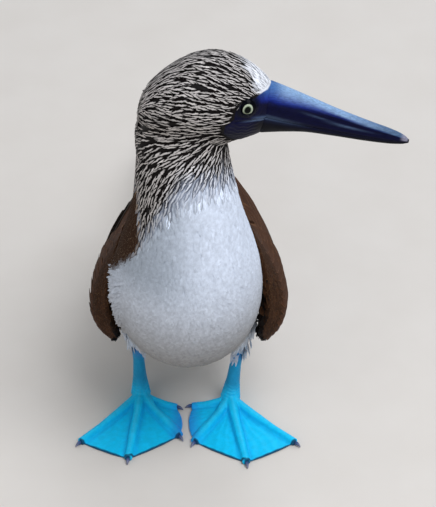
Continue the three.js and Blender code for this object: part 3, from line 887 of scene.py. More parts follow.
@dataclass
class BodySkin:
    """The one skin of trunk, neck, head and thighs, inside its solids by the coat's depth."""

    nodes: tuple[str, ...] = ("torso", "neck", "head", "thigh_left", "thigh_right")
    swell: float = 0.3
    voxel: float = 1.95
    smoothing: int = 6
    eye_fill: float = 6.0
    lid_radius: float = 5.9
    lid_width: float = 1.1
    lid_height: float = 0.9
    socket_depth: float = 4.5
    nape_height: float = 305
    nape_steps: int = 90
    nape_fill: float = 4.0
    fill_height: float = 309

    def joined(self) -> Object:
        """Swollen copies of the solids in one mesh, with the eye sockets filled.

        Returns:
            The object, still of separate shells.
        """
        whole = swollen_copies("skin", self.nodes, self.swell)
        made = bmesh.new()
        made.from_mesh(whole.data)
        for side in SIDES.values():
            place = Matrix.Translation(Vector(BIRD.metres(BIRD.eye(side))))
            bmesh.ops.create_icosphere(made, subdivisions=3, radius=self.eye_fill * MM, matrix=place)
        made.to_mesh(whole.data)
        made.free()
        return whole

    def ease_nape(self, mesh: Mesh) -> None:
        """Rounds the corner in which nape and neck meet.

        Args:
            mesh: what is changed.
        """
        p = points_of(mesh)
        head = BIRD.to_head(p)
        near = smooth(np.abs(p[:, 2] - self.nape_height), 24, 10) * smooth(head[:, 0], -14, -34)
        a, b = rows_of(mesh.edges, "vertices", 2, np.int32).T
        joined = (near[a] > 0) | (near[b] > 0)
        a, b = a[joined], b[joined]
        links = np.maximum(1, np.bincount(a, minlength=len(p)) + np.bincount(b, minlength=len(p)))
        for _ in range(self.nape_steps):
            total = np.zeros_like(p)
            for axis in range(3):
                total[:, axis] = np.bincount(a, p[b, axis], len(p)) + np.bincount(b, p[a, axis], len(p))
            p = blend(p, total / links[:, None], 0.9 * near)
        fill = self.nape_fill * hump(p[:, 2], self.fill_height, 13) * smooth(head[:, 0], -40, -62)
        move_points(mesh, p - np.outer(fill, BIRD.turn[:, 0]))

    def refine_face(self, mesh: Mesh) -> None:
        """Divides the faces of the bare face twice, for lids and gape.

        Args:
            mesh: what is changed.
        """
        for _ in range(2):
            made = bmesh.new()
            made.from_mesh(mesh)
            made.verts.ensure_lookup_table()
            head = BIRD.to_head(BIRD.own(np.array([v.co for v in made.verts])))
            near = (head[:, 0] > -15) & (np.abs(head[:, 2] + 7) < 32) & (head[:, 0] < 25)
            edges = [e for e in made.edges if near[e.verts[0].index] and near[e.verts[1].index]]
            bmesh.ops.subdivide_edges(made, edges=edges, cuts=1, use_grid_fill=True, smooth=0.4)
            bmesh.ops.triangulate(made, faces=[f for f in made.faces if len(f.verts) > 4])
            made.to_mesh(mesh)
            made.free()

    def depth(self, p: Array) -> Array:
        """How far the skin lies under the coat's surface, in mm.

        Args:
            p: places on the bird.

        Returns:
            A depth for each place.
        """
        head = BIRD.to_head(p)
        reach = np.linalg.norm(head - np.array([14, 0, -6]), axis=1)
        return np.interp(reach, [12, 24, 60, 110], [0.3, 0.5, 0.8, 1.0]) * (1 - MARKINGS.face(p, 2.0)) + 0.2

    def face_relief(self, p: Array) -> Array:
        """Height of lids and gape over the smooth skin, in mm.

        Args:
            p: places on the bird.

        Returns:
            A height for each place.
        """
        head = BIRD.to_head(p)
        lift = np.zeros(len(p))
        for side in SIDES.values():
            near = head[:, 1] * side > 6
            from_eye = np.hypot(head[:, 0] - BIRD.eye_ahead - 0.8, (head[:, 2] + 1.0) * 0.93)
            lid = hump(from_eye, self.lid_radius, self.lid_width) * self.lid_height
            socket = -self.socket_depth * smooth(from_eye, self.lid_radius - 0.6, self.lid_radius - 1.8)
            lift += np.where(near, lid + socket, 0)
        over = MARKINGS.over_gape(head)
        lift += (0.45 * hump(over, 2.2, 1.4) - 0.9 * hump(over, 0, 0.8)) * smooth(head[:, 0], -8, -3)
        fold = np.sin(np.hypot(head[:, 0] - 2, head[:, 2] + 1) * 2.1 + np.sin(head[:, 0] * 0.9)) * 0.13
        lift += fold * smooth(np.hypot(head[:, 0], head[:, 2]), 6.5, 8.5) * smooth(head[:, 0], 15, 10)
        return lift * MARKINGS.face(p, 3.0)

    def build(self) -> Object:
        """Makes the skin with its colours and its unwrap.

        Returns:
            The finished piece.
        """
        skin = self.joined()
        fuse(skin, self.voxel, self.smoothing)
        self.ease_nape(skin.data)
        self.refine_face(skin.data)
        p = points_of(skin.data)
        inward = (self.face_relief(p) - self.depth(p) - self.swell)[:, None]
        move_points(skin.data, p + normals_of(skin.data) * inward)
        shade_smooth(skin.data)
        unwrap(skin)
        paint(skin.data, "tint", MARKINGS.skin(points_of(skin.data)))
        skin.data.materials.append(BareSkin("bare_skin", 0.45, 0.9, 0.12).build())
        return enter(skin, "white_down", *self.nodes)


def unwrap(made: Object) -> None:
    """Gives a mesh a bake map that unfolds its own shape without overlap.

    Args:
        made: the object.
    """
    bpy.context.view_layer.objects.active = made
    made.select_set(True)
    made.data.uv_layers.active = made.data.uv_layers.new(name=BAKE_MAP)
    bpy.ops.object.mode_set(mode="EDIT")
    bpy.ops.mesh.select_all(action="SELECT")
    bpy.ops.uv.smart_project(angle_limit=math.radians(66), island_margin=0.002)
    bpy.ops.object.mode_set(mode="OBJECT")
    made.select_set(False)


@dataclass(frozen=True)
class Tuft:
    """One small feather as a closed mesh of unit length: x runs to its tip, y across and z out."""

    stations: tuple[tuple[float, float], ...]
    columns: int
    camber: float
    arch: float

    def build(self, name: str) -> Object:
        """Makes the feather that the coat repeats, with its own map over the vane.

        Args:
            name: the feather's name.

        Returns:
            An object that isn't in the scene.
        """
        across = np.linspace(-1, 1, self.columns)
        rows = []
        for u, half in self.stations:
            high = 4 * self.arch * u * (1 - u)
            rows.append([(u, half * v, high + self.camber * (1 - v * v)) for v in across])
        points = [p for row in rows for p in row]
        width = self.columns
        faces = []
        maps = []

        def add(corners: list[tuple[int, int]]) -> None:
            """Adds a face from station and column of each corner."""
            faces.append([r * width + c for r, c in corners])
            maps.append([(self.stations[r][0], c / (width - 1)) for r, c in corners])

        last = len(rows) - 1
        for r in range(last):
            for c in range(width - 1):
                add([(r, c), (r + 1, c), (r + 1, c + 1), (r, c + 1)])
            add([(r, width - 1), (r + 1, width - 1), (r + 1, 0), (r, 0)])
        add([(0, c) for c in range(width)])
        add([(last, c) for c in reversed(range(width))])
        mesh = bpy.data.meshes.new(name)
        mesh.from_pydata(points, [], faces)
        layer = mesh.uv_layers.new(name=VANE_MAP)
        layer.data.foreach_set("uv", [value for face in maps for pair in face for value in pair])
        shade_smooth(mesh)
        outward(mesh)
        mesh.set_sharp_from_angle(angle=math.radians(RIM_DEGREES))
        return bpy.data.objects.new(name, mesh)


HACKLE = Tuft(((0, 0.25), (0.2, 0.8), (0.45, 1.0), (0.75, 0.8), (1, 0.1)), 3, 0.03, 0.045)
DOWN = Tuft(((0, 0.3), (0.25, 0.85), (0.5, 1.0), (0.8, 0.7), (1, 0.12)), 3, 0.012, 0.035)
CONTOUR = Tuft(((0, 0.35), (0.3, 0.9), (0.6, 1.0), (0.85, 0.78), (1, 0.25)), 5, 0.03, 0.045)


@dataclass
class Roots:
    """Where feathers grow: a row for each, in the bird's millimetres."""

    place: Array
    normal: Array
    unwrapped: Array

    def only(self, keep: Array) -> "Roots":
        """The roots that a mask keeps."""
        return Roots(self.place[keep], self.normal[keep], self.unwrapped[keep])


# a value or a direction for each place, from places and outward normals
Field = Callable[[Array, Array], Array]


def scatter(mesh: Mesh, spacing: Callable[[Array], Array], wanted: Field, flow: Field, seed: int,
            stretch: float = 1.6, crowd: float = 3.0) -> Roots:
    """Spreads roots evenly over a mesh, a set distance apart.

    Args:
        mesh: the skin.
        spacing: least distance at each place, in mm, across the lie.
        wanted: which places grow feathers, from place and normal.
        flow: which way feathers lie, from place and normal.
        seed: of the random draw.
        stretch: how much further apart they are along the lie.
        crowd: tries for each place that a root could fill.

    Returns:
        The roots, in the order drawn.
    """
    rng = np.random.default_rng(seed)
    mesh.calc_loop_triangles()
    count = len(mesh.loop_triangles)
    corners = rows_of(mesh.loop_triangles, "vertices", 3, np.int32)
    loops = rows_of(mesh.loop_triangles, "loops", 3, np.int32)
    p, normal = points_of(mesh), normals_of(mesh)
    uv = rows_of(mesh.uv_layers[BAKE_MAP].data, "uv", 2)
    a, b, c = (p[corners[:, k]] for k in range(3))
    area = np.linalg.norm(np.cross(b - a, c - a), axis=1) / 2
    middle = (a + b + c) / 3
    weight = area / spacing(middle) ** 2 * wanted(middle, unit(normal[corners].mean(1)))
    total = int(weight.sum() * crowd)
    picked = rng.choice(count, total, p=weight / weight.sum())
    r1, r2 = np.sqrt(rng.random(total)), rng.random(total)
    shares = np.stack([1 - r1, r1 * (1 - r2), r1 * r2], 1)[..., None]
    place = (p[corners[picked]] * shares).sum(1)
    normals = unit((normal[corners[picked]] * shares).sum(1))
    maps = (uv[loops[picked]] * shares).sum(1)
    least = spacing(place)
    ways = flow(place, normals).tolist()
    shorten = 1 - 1 / stretch**2
    cell = float(least.max()) * stretch
    keys = np.floor(place / cell).astype(int)
    grid: dict[tuple[int, int, int], list[int]] = {}
    kept = []
    near = [(i, j, k) for i in (-1, 0, 1) for j in (-1, 0, 1) for k in (-1, 0, 1)]
    rows = place.tolist()
    for n, (x, y, z) in enumerate(rows):
        i, j, k = keys[n]
        limit = least[n] ** 2
        wx, wy, wz = ways[n]
        free = True
        for di, dj, dk in near:
            for m in grid.get((i + di, j + dj, k + dk), ()):
                ox, oy, oz = rows[m]
                run = (x - ox) * wx + (y - oy) * wy + (z - oz) * wz
                if (x - ox) ** 2 + (y - oy) ** 2 + (z - oz) ** 2 - run * run * shorten < limit:
                    free = False
                    break
            if not free:
                break
        if free:
            grid.setdefault((i, j, k), []).append(n)
            kept.append(n)
    return Roots(place[kept], normals[kept], maps[kept])


def even_spacing(p: Array) -> Array:
    """The same distance between roots at every place."""
    return np.full(len(p), 1.9)


def plume_tree(name: str) -> GeometryNodeTree:
    """Geometry nodes that set a feather at every root.

    Args:
        name: the tree's name.

    Returns:
        A tree with the feather, the size of its bake patch and its material as inputs.
    """
    tree = bpy.data.node_groups.new(name, "GeometryNodeTree")
    inputs = {"Geometry": "Geometry", "Feather": "Object", "Bake Patch": "Float", "Material": "Material"}
    for label, kind in inputs.items():
        tree.interface.new_socket(label, in_out="INPUT", socket_type="NodeSocket" + kind)
    tree.interface.new_socket("Geometry", in_out="OUTPUT", socket_type="NodeSocketGeometry")
    given = node(tree, "NodeGroupInput")

    def stored(attribute: str) -> NodeSocket:
        """A vector stored on the roots or on the feather."""
        return node(tree, "GeometryNodeInputNamedAttribute", {"Name": attribute},
                    data_type="FLOAT_VECTOR").outputs[0]

    turn = node(tree, "FunctionNodeAxesToRotation", {0: stored("out"), 1: stored("along")},
                primary_axis="Z", secondary_axis="X")
    feather = node(tree, "GeometryNodeObjectInfo", {"Object": given.outputs["Feather"]})
    placed = node(tree, "GeometryNodeInstanceOnPoints", {
        "Points": given.outputs["Geometry"], "Instance": feather.outputs["Geometry"],
        "Rotation": turn.outputs[0], "Scale": stored("size")})
    real = node(tree, "GeometryNodeRealizeInstances", {"Geometry": placed.outputs[0]})
    centred = node(tree, "ShaderNodeVectorMath", {0: stored(VANE_MAP), 1: (0.5, 0.5, 0)},
                   operation="SUBTRACT")
    patch = node(tree, "ShaderNodeVectorMath", {0: centred.outputs[0], "Scale": given.outputs["Bake Patch"]},
                 operation="SCALE")
    spot = node(tree, "ShaderNodeVectorMath", {0: stored("root_map"), 1: patch.outputs[0]}, operation="ADD")
    mapped = node(tree, "GeometryNodeStoreNamedAttribute", {"Geometry": real.outputs[0], "Name": BAKE_MAP,
                  "Value": spot.outputs[0]}, data_type="FLOAT2", domain="CORNER")
    dressed = node(tree, "GeometryNodeSetMaterial", {"Geometry": mapped.outputs[0],
                                                     "Material": given.outputs["Material"]})
    node(tree, "NodeGroupOutput", {"Geometry": dressed.outputs[0]})
    return tree


class Surface:
    """A skin that feathers lie down on."""

    tip_share = 0.95
    low_height = 60
    low_hang = 2.0
    least_hang = 2.8
    hang_share = 0.4

    def __init__(self, mesh: Mesh) -> None:
        """Sorts the skin's faces for finding the nearest one.

        Args:
            mesh: the skin.
        """
        faces = [tuple(face.vertices) for face in mesh.polygons]
        self.tree = BVHTree.FromPolygons(points_of(mesh).tolist(), faces)

    def settle(self, roots: Roots, along: Array, length: Array, rise: Array,
               sink: float) -> tuple[Array, ...]:
        """Turns each feather so that its tip comes down just over the skin, or hangs free past its end.

        Args:
            roots: where they grow.
            along: which way each one would lie on a flat skin.
            length: of each in mm.
            rise: height of the tips over the skin.
            sink: depth of the roots under it.

        Returns:
            Places, directions and outward directions.
        """
        tips = roots.place + along * length[:, None] * self.tip_share
        found = [self.tree.find_nearest(Vector(tip)) for tip in tips]
        ground = np.array([tuple(hit[0]) for hit in found])
        normal = np.array([tuple(hit[1]) for hit in found])
        usual = np.maximum(self.least_hang, self.hang_share * length)
        limit = np.where(tips[:, 2] < self.low_height, self.low_hang, usual)
        free = np.linalg.norm(tips - ground, axis=1) > limit
        ground[free], normal[free] = tips[free], roots.normal[free]
        place = roots.place - roots.normal * sink
        way = unit(ground + normal * rise[:, None] - place)
        return place, way, laid(roots.normal + normal, way)


@dataclass
class Coat:
    """A layer of small feathers over a skin."""

    name: str
    tuft: Tuft
    slot: str
    material: Material
    surface: Surface
    rise: float = 0.5
    sink: float = 0.3
    bake_patch: float = 0.003

    def lay(self, roots: Roots, along: Array, size: Array, tint: Array, shade: Array,
            loose: float | Array = 0.0) -> Object:
        """Sets a feather at every root.

        Args:
            roots: where they grow.
            along: which way each one lies.
            size: length, half width and height of each in mm.
            tint: its pale colour.
            shade: its dark colour.
            loose: how much further than the others its tip stands off, in mm.

        Returns:
            One joined mesh.
        """
        source = self.tuft.build(self.name + "_feather")
        rise = np.broadcast_to(self.rise + np.asarray(loose), len(roots.place))
        place, way, out = self.surface.settle(roots, along, size[:, 0], rise, self.sink)
        points = make_object(self.name + "_roots", place, [])
        vectors = {"out": out, "along": way, "size": size * MM,
                   "root_map": np.hstack([roots.unwrapped, np.zeros((len(roots.place), 1))])}
        for name, rows in vectors.items():
            layer = points.data.attributes.new(name, "FLOAT_VECTOR", "POINT")
            layer.data.foreach_set("vector", rows.astype(np.float32).ravel())
        paint(points.data, "tint", tint)
        paint(points.data, "shade", shade)
        tree = plume_tree(self.name + "_tree")
        modifier = points.modifiers.new("plumes", "NODES")
        modifier.node_group = tree
        inputs = {item.name: item.identifier for item in tree.interface.items_tree if item.in_out == "INPUT"}
        modifier[inputs["Feather"]] = source
        modifier[inputs["Bake Patch"]] = self.bake_patch
        modifier[inputs["Material"]] = self.material
        mesh = evaluated(points)
        bpy.data.objects.remove(points)
        bpy.data.objects.remove(source)
        for name in vectors:
            if name in mesh.attributes:
                mesh.attributes.remove(mesh.attributes[name])
        mesh.name = self.name
        return enter(linked(self.name, mesh), self.slot)


class Lie:
    """Which way the coat lies."""

    bill_root = np.array([26.0, 0.0, -4.0])
    down_neck = unit(np.array([0.0, 0.1, -1.0]))
    down_trunk = unit(np.array([0.0, 0.8, -0.6]))
    wave_degrees = 9

    def flow(self, p: Array, normal: Array) -> Array:
        """Direction of the coat at each place, in the skin's plane.

        Args:
            p: places on the bird.
            normal: the skin's outward normal at each.

        Returns:
            A direction for each place.
        """
        radial = unit(p - BIRD.from_head(self.bill_root))
        way = blend(radial, self.down_neck, smooth(p[:, 2], 322, 262))
        way = blend(way, self.down_trunk, smooth(p[:, 2], 245, 190))
        outer = smooth(np.abs(p[:, 0] - MIDLINE), 30, 42) * smooth(p[:, 2], 122, 100)
        way = blend(way, self.down_neck, np.maximum(outer, smooth(p[:, 2], 88, 66)))
        wave = np.sin(p @ np.array([0.21, 0.17, 0.13])) * np.sin(p @ np.array([-0.12, 0.19, 0.16]))
        return turned(laid(way, normal), normal, wave * self.wave_degrees)

    def along(self, roots: Roots, rng: np.random.Generator, stray: float) -> Array:
        """Direction of each feather, single ones straying by some degrees.

        Args:
            roots: where the feathers grow.
            rng: the random draw.
            stray: by how many degrees they stray.

        Returns:
            A direction for each root.
        """
        way = self.flow(roots.place, roots.normal)
        return turned(way, roots.normal, rng.normal(0, stray, len(way)))


def uneven(rng: np.random.Generator, colours: Array, amount: float) -> Array:
    """Makes each feather's colour a little lighter or darker."""
    return colours * np.exp(rng.normal(0, amount, (len(colours), 1)))


class Plumes:
    """The small feathers of head, neck and body.

    Sizes of the feathers are length, half width and height, each times the distance between roots.
    """

    hackle_size = (6.0, 0.84, 4.8)
    contour_size = (5.6, 0.85, 4.6)
    neck_top = 318
    breast_foot = 160

    def __init__(self, skin: Object) -> None:
        """Keeps the skin that they grow on.

        Args:
            skin: what they grow on.
        """
        self.mesh = skin.data
        self.surface = Surface(skin.data)
        self.lie = Lie()

    @staticmethod
    def spacing(p: Array) -> Array:
        """Distance between roots across the lie, finest at the face.

        Args:
            p: places on the bird.

        Returns:
            A distance in mm for each place.
        """
        head = BIRD.to_head(p)
        reach = np.linalg.norm(head - np.array([14, 0, -6]), axis=1)
        return np.interp(reach, [14, 26, 50, 90, 150], [0.9, 1.35, 2.1, 2.2, 1.6])

    @staticmethod
    def flank(p: Array) -> Array:
        """1 where loose feathers of the right flank lie over the wing's front.

        Args:
            p: places on the bird.

        Returns:
            A share for each place.
        """
        ahead = smooth(p[:, 1], -96, -78) * smooth(p[:, 1], -38, -56)
        return ahead * smooth(-p[:, 0], 38, 46) * smooth(p[:, 2], 92, 118) * smooth(p[:, 2], 206, 184)

    @staticmethod
    def thigh(p: Array) -> Array:
        """1 on the fluffy feathers over the outer side of each thigh."""
        return smooth(np.abs(p[:, 0] - MIDLINE), 33, 43) * smooth(p[:, 2], 116, 98) * smooth(p[:, 1], 45, 20)

    @staticmethod
    def sleeve(p: Array) -> Array:
        """1 on the loose feathers at each thigh's lower end."""
        return smooth(p[:, 2], 80, 62) * smooth(np.abs(p[:, 0] - MIDLINE), 20, 28)

    def build(self) -> list[Object]:
        """Lays all of the body's coats."""
        return self.hackles() + self.contours()

    def hackles(self) -> list[Object]:
        """Narrow pale-stroked feathers of head and neck.

        Returns:
            The pieces, in the order made.
        """
        def wanted(p: Array, normal: Array) -> Array:
            """1 on streaked plumage, 0 on the bare face."""
            plumed = (MARKINGS.face(p, 0.3) < 0.5) * (BIRD.to_head(p)[:, 0] < 15.5)
            return (MARKINGS.streaks(p) > 0.02) * plumed * 1.0

        roots = scatter(self.mesh, self.spacing, wanted, self.lie.flow, 21, 2.3, 20.0)
        finish = Plumage("streaked_hackles", Pattern.PALE_STROKE, waver=0.11).build()
        above = roots.place[:, 2] > self.neck_top
        pieces = []
        for name, keep, seed in (("head_coat", above, 31), ("neck_coat", ~above, 32)):
            part = roots.only(keep)
            rng = np.random.default_rng(seed)
            space = self.spacing(part.place)
            vary = np.exp(rng.normal(0, 0.1, len(space)))
            size = np.outer(space, self.hackle_size)
            size[:, :2] *= vary[:, None]
            tint, shade = MARKINGS.tints(part.place)
            coat = Coat(name, HACKLE, "streaked_feather", finish, self.surface)
            pieces.append(coat.lay(part, self.lie.along(part, rng, 8), size,
                                   uneven(rng, tint, 0.12), uneven(rng, shade, 0.2)))
        return pieces

    def contours(self) -> list[Object]:
        """Soft feathers of breast, belly, back and thighs.

        Returns:
            The pieces, in the order made.
        """
        def wanted(p: Array, normal: Array) -> Array:
            """1 on plain plumage above the bare shanks, 0 where the tail's own feathers take over."""
            rear = (normal[:, 1] > 0.7) & (p[:, 1] > 120)
            return (MARKINGS.streaks(p) <= 0.02) * (p[:, 2] > 57.5) * ~rear * 1.0

        def closer(p: Array) -> Array:
            """Spacing that is closer on breast and belly than behind."""
            return self.spacing(p) * (1 - 0.22 * smooth(p[:, 1], -45, -65))

        roots = scatter(self.mesh, closer, wanted, self.lie.flow, 22, 1.6, 4.0)
        finish = Plumage("body_contours", Pattern.PALE_EDGE, roughness=0.9, gloss=0.1).build()
        front = roots.normal[:, 1] < 0
        high = roots.place[:, 2] > self.breast_foot
        under = roots.normal[:, 2] < -0.2
        parts = (("breast_coat", front & high), ("belly_coat", front & ~high),
                 ("vent_coat", ~front & under), ("back_coat", ~front & ~under))
        pieces = []
        for seed, (name, keep) in enumerate(parts):
            part = roots.only(keep)
            rng = np.random.default_rng(40 + seed)
            space = self.spacing(part.place)
            vary = np.exp(rng.normal(0, 0.12, len(space)))
            flank, thigh, sleeve = (mask(part.place) for mask in (self.flank, self.thigh, self.sleeve))
            size = np.outer(space, self.contour_size)
            size[:, 0] *= vary * (1 + flank + 0.9 * thigh + 0.6 * sleeve)
            size[:, 1] *= vary * (1 + 0.3 * thigh)
            tint, shade = (blend(colours, MARKINGS.white, 0.6 * np.maximum(thigh, sleeve))
                           for colours in MARKINGS.tints(part.place))
            way = self.lie.along(part, rng, 8)
            tint, shade = uneven(rng, tint, 0.045), uneven(rng, shade, 0.045)
            loose = flank * rng.uniform(1.5, 5, len(flank))
            loose = loose + (thigh + 0.5 * sleeve) * rng.uniform(0.5, 5.5, len(thigh))
            coat = Coat(name, DOWN, "white_down", finish, self.surface, 0.35, 0.2)
            pieces.append(coat.lay(part, way, size, tint, shade, loose))
        return pieces


@dataclass
class Blade:
    """One long feather: its middle line over a surface, its sizes and its colours."""

    root: tuple[float, float]
    tip: tuple[float, float]
    width: float
    lift: tuple[float, float]
    tilt: float = 0.0
    point: float = 0.3
    thickness: float = 0.5
    camber: float = 0.8
    shaft: float = 0.35
    tint: Array | None = None
    shade: Array | None = None


class BladeRow:
    """Gathers long feathers into one mesh."""

    steps = 14
    columns = 7

    def __init__(self, surface: Callable[[Array, Array], tuple[Array, Array]], seed: int) -> None:
        """Starts an empty row.

        Args:
            surface: gives place and outward normal at shares along and across.
            seed: of the random draw.
        """
        self.surface = surface
        self.rng = np.random.default_rng(seed)
        self.points: list[Array] = []
        self.faces: list[list[int]] = []
        self.maps: list[tuple[float, float]] = []
        self.tints: list[Array] = []
        self.shades: list[Array] = []

    def add(self, blade: Blade) -> None:
        """Adds one feather as a closed vane with a raised shaft and a slightly ragged edge.

        Args:
            blade: the feather.
        """
        share = np.linspace(0, 1, self.steps + 1)
        root, tip = np.array(blade.root), np.array(blade.tip)
        line = root + (tip - root) * share[:, None]
        place, normal = self.surface(line[:, 0], line[:, 1])
        ahead, behind = (self.surface(*(root + (tip - root) * (share[:, None] + step)).T)[0]
                         for step in (0.01, -0.01))
        across = unit(np.cross(ahead - behind, normal))
        swell = np.minimum(1, 0.55 + share * 1.8)
        past = np.maximum(0, (share - 1 + blade.point) / blade.point)
        taper = np.sqrt(np.maximum(0.0, 1 - past**2))
        half = blade.width / 2 * swell * np.maximum(0.06, taper)
        ragged = 1 - 0.07 * self.rng.random((self.steps + 1, 2)) * (share[:, None] > 0.3)
        side = np.linspace(-1, 1, self.columns)
        reach = side[None, :] * half[:, None] * np.where(side[None, :] < 0, ragged[:, :1], ragged[:, 1:])
        rise = blade.lift[0] + (blade.lift[1] - blade.lift[0]) * share
        aside = reach / (blade.width / 2)
        height = rise[:, None] + blade.tilt * aside - blade.camber * aside**2
        rib = blade.shaft * (1 - share[:, None]) * (np.abs(side[None, :]) < 0.05)
        top = place[:, None] + across[:, None] * reach[..., None]
        top = top + normal[:, None] * (height + rib)[..., None]
        thick = blade.thickness * (1 - 0.5 * share)[:, None] * (1 - 0.6 * np.abs(side[None, :]))
        low = top - normal[:, None] * (thick + rib)[..., None]
        self.weave(top, low, blade, share, side)

    def weave(self, top: Array, low: Array, blade: Blade, share: Array, side: Array) -> None:
        """Adds a vane's upper and lower face and its rim.

        Args:
            top: rows by columns of points of the upper face.
            low: those of the lower.
            blade: the feather.
            share: place of each row along it.
            side: place of each column across it, from -1 to 1.
        """
        rows, columns = top.shape[:2]
        start = sum(len(p) for p in self.points)
        self.points += [top.reshape(-1, 3), low.reshape(-1, 3)]
        self.tints.append(np.tile(blade.tint, (rows * columns * 2, 1)))
        self.shades.append(np.tile(blade.shade, (rows * columns * 2, 1)))
        under = rows * columns

        def add(corners: list[tuple[int, int, int]]) -> None:
            """Adds a face from layer, row and column of each corner."""
            self.faces.append([start + layer * under + r * columns + c for layer, r, c in corners])
            self.maps.extend((share[r], (side[c] + 1) / 2) for _, r, c in corners)

        for r in range(rows - 1):
            for c in range(columns - 1):
                add([(0, r, c), (0, r + 1, c), (0, r + 1, c + 1), (0, r, c + 1)])
                add([(1, r, c), (1, r, c + 1), (1, r + 1, c + 1), (1, r + 1, c)])
            add([(0, r, 0), (1, r, 0), (1, r + 1, 0), (0, r + 1, 0)])
            add([(0, r, columns - 1), (0, r + 1, columns - 1), (1, r + 1, columns - 1), (1, r, columns - 1)])
        for c in range(columns - 1):
            add([(0, 0, c), (0, 0, c + 1), (1, 0, c + 1), (1, 0, c)])
            add([(0, rows - 1, c), (1, rows - 1, c), (1, rows - 1, c + 1), (0, rows - 1, c + 1)])

    def build(self, name: str, slot: str, material: Material) -> Object:
        """Makes the row's mesh with colours, its vane map and a bake map.

        Args:
            name: the piece's name.
            slot: its material slot.
            material: its finish.

        Returns:
            The finished piece.
        """
        made = make_object(name, np.vstack(self.points), self.faces)
        mesh = made.data
        paint(mesh, "tint", np.vstack(self.tints))
        paint(mesh, "shade", np.vstack(self.shades))
        layer = mesh.uv_layers.new(name=VANE_MAP)
        layer.data.foreach_set("uv", np.array(self.maps).ravel())
        outward(mesh)
        mesh.set_sharp_from_angle(angle=math.radians(RIM_DEGREES))
        unwrap(made)
        mesh.materials.append(material)
        return enter(made, slot)


DARK = "#150c07"
BROWN = "#442817"
FRINGE = "#64442c"


@dataclass
class Tier:
    """A row of like feathers, given by its first and its last one."""

    count: int
    roots: tuple
    tips: tuple
    width: float
    lift: tuple[float, float]
    tint: str = FRINGE
    shade: str = BROWN
    tilt: float = 1.0
    stack: float = 0.0
    point: float = 0.3

    def blades(self, rng: np.random.Generator) -> list[Blade]:
        """Feathers of the tier, each a little unlike the next.

        Args:
            rng: the random draw.

        Returns:
            The feathers, from the back to the lower edge.
        """
        made = []
        for i in range(self.count):
            share = i / (self.count - 1)
            root, tip = (np.array(first) + (np.array(last) - np.array(first)) * share
                         for first, last in (self.roots, self.tips))
            vary = rng.normal(0, 1, 4)
            tone = math.exp(vary[0] * 0.08)
            made.append(Blade(
                (root[0], root[1]), (tip[0] + vary[1] * 0.006, tip[1] + vary[2] * 0.006),
                self.width * (1 + vary[3] * 0.04), tuple(height + i * self.stack for height in self.lift),
                self.tilt, self.point, tint=linear(self.tint) * tone, shade=linear(self.shade) * tone))
        return made


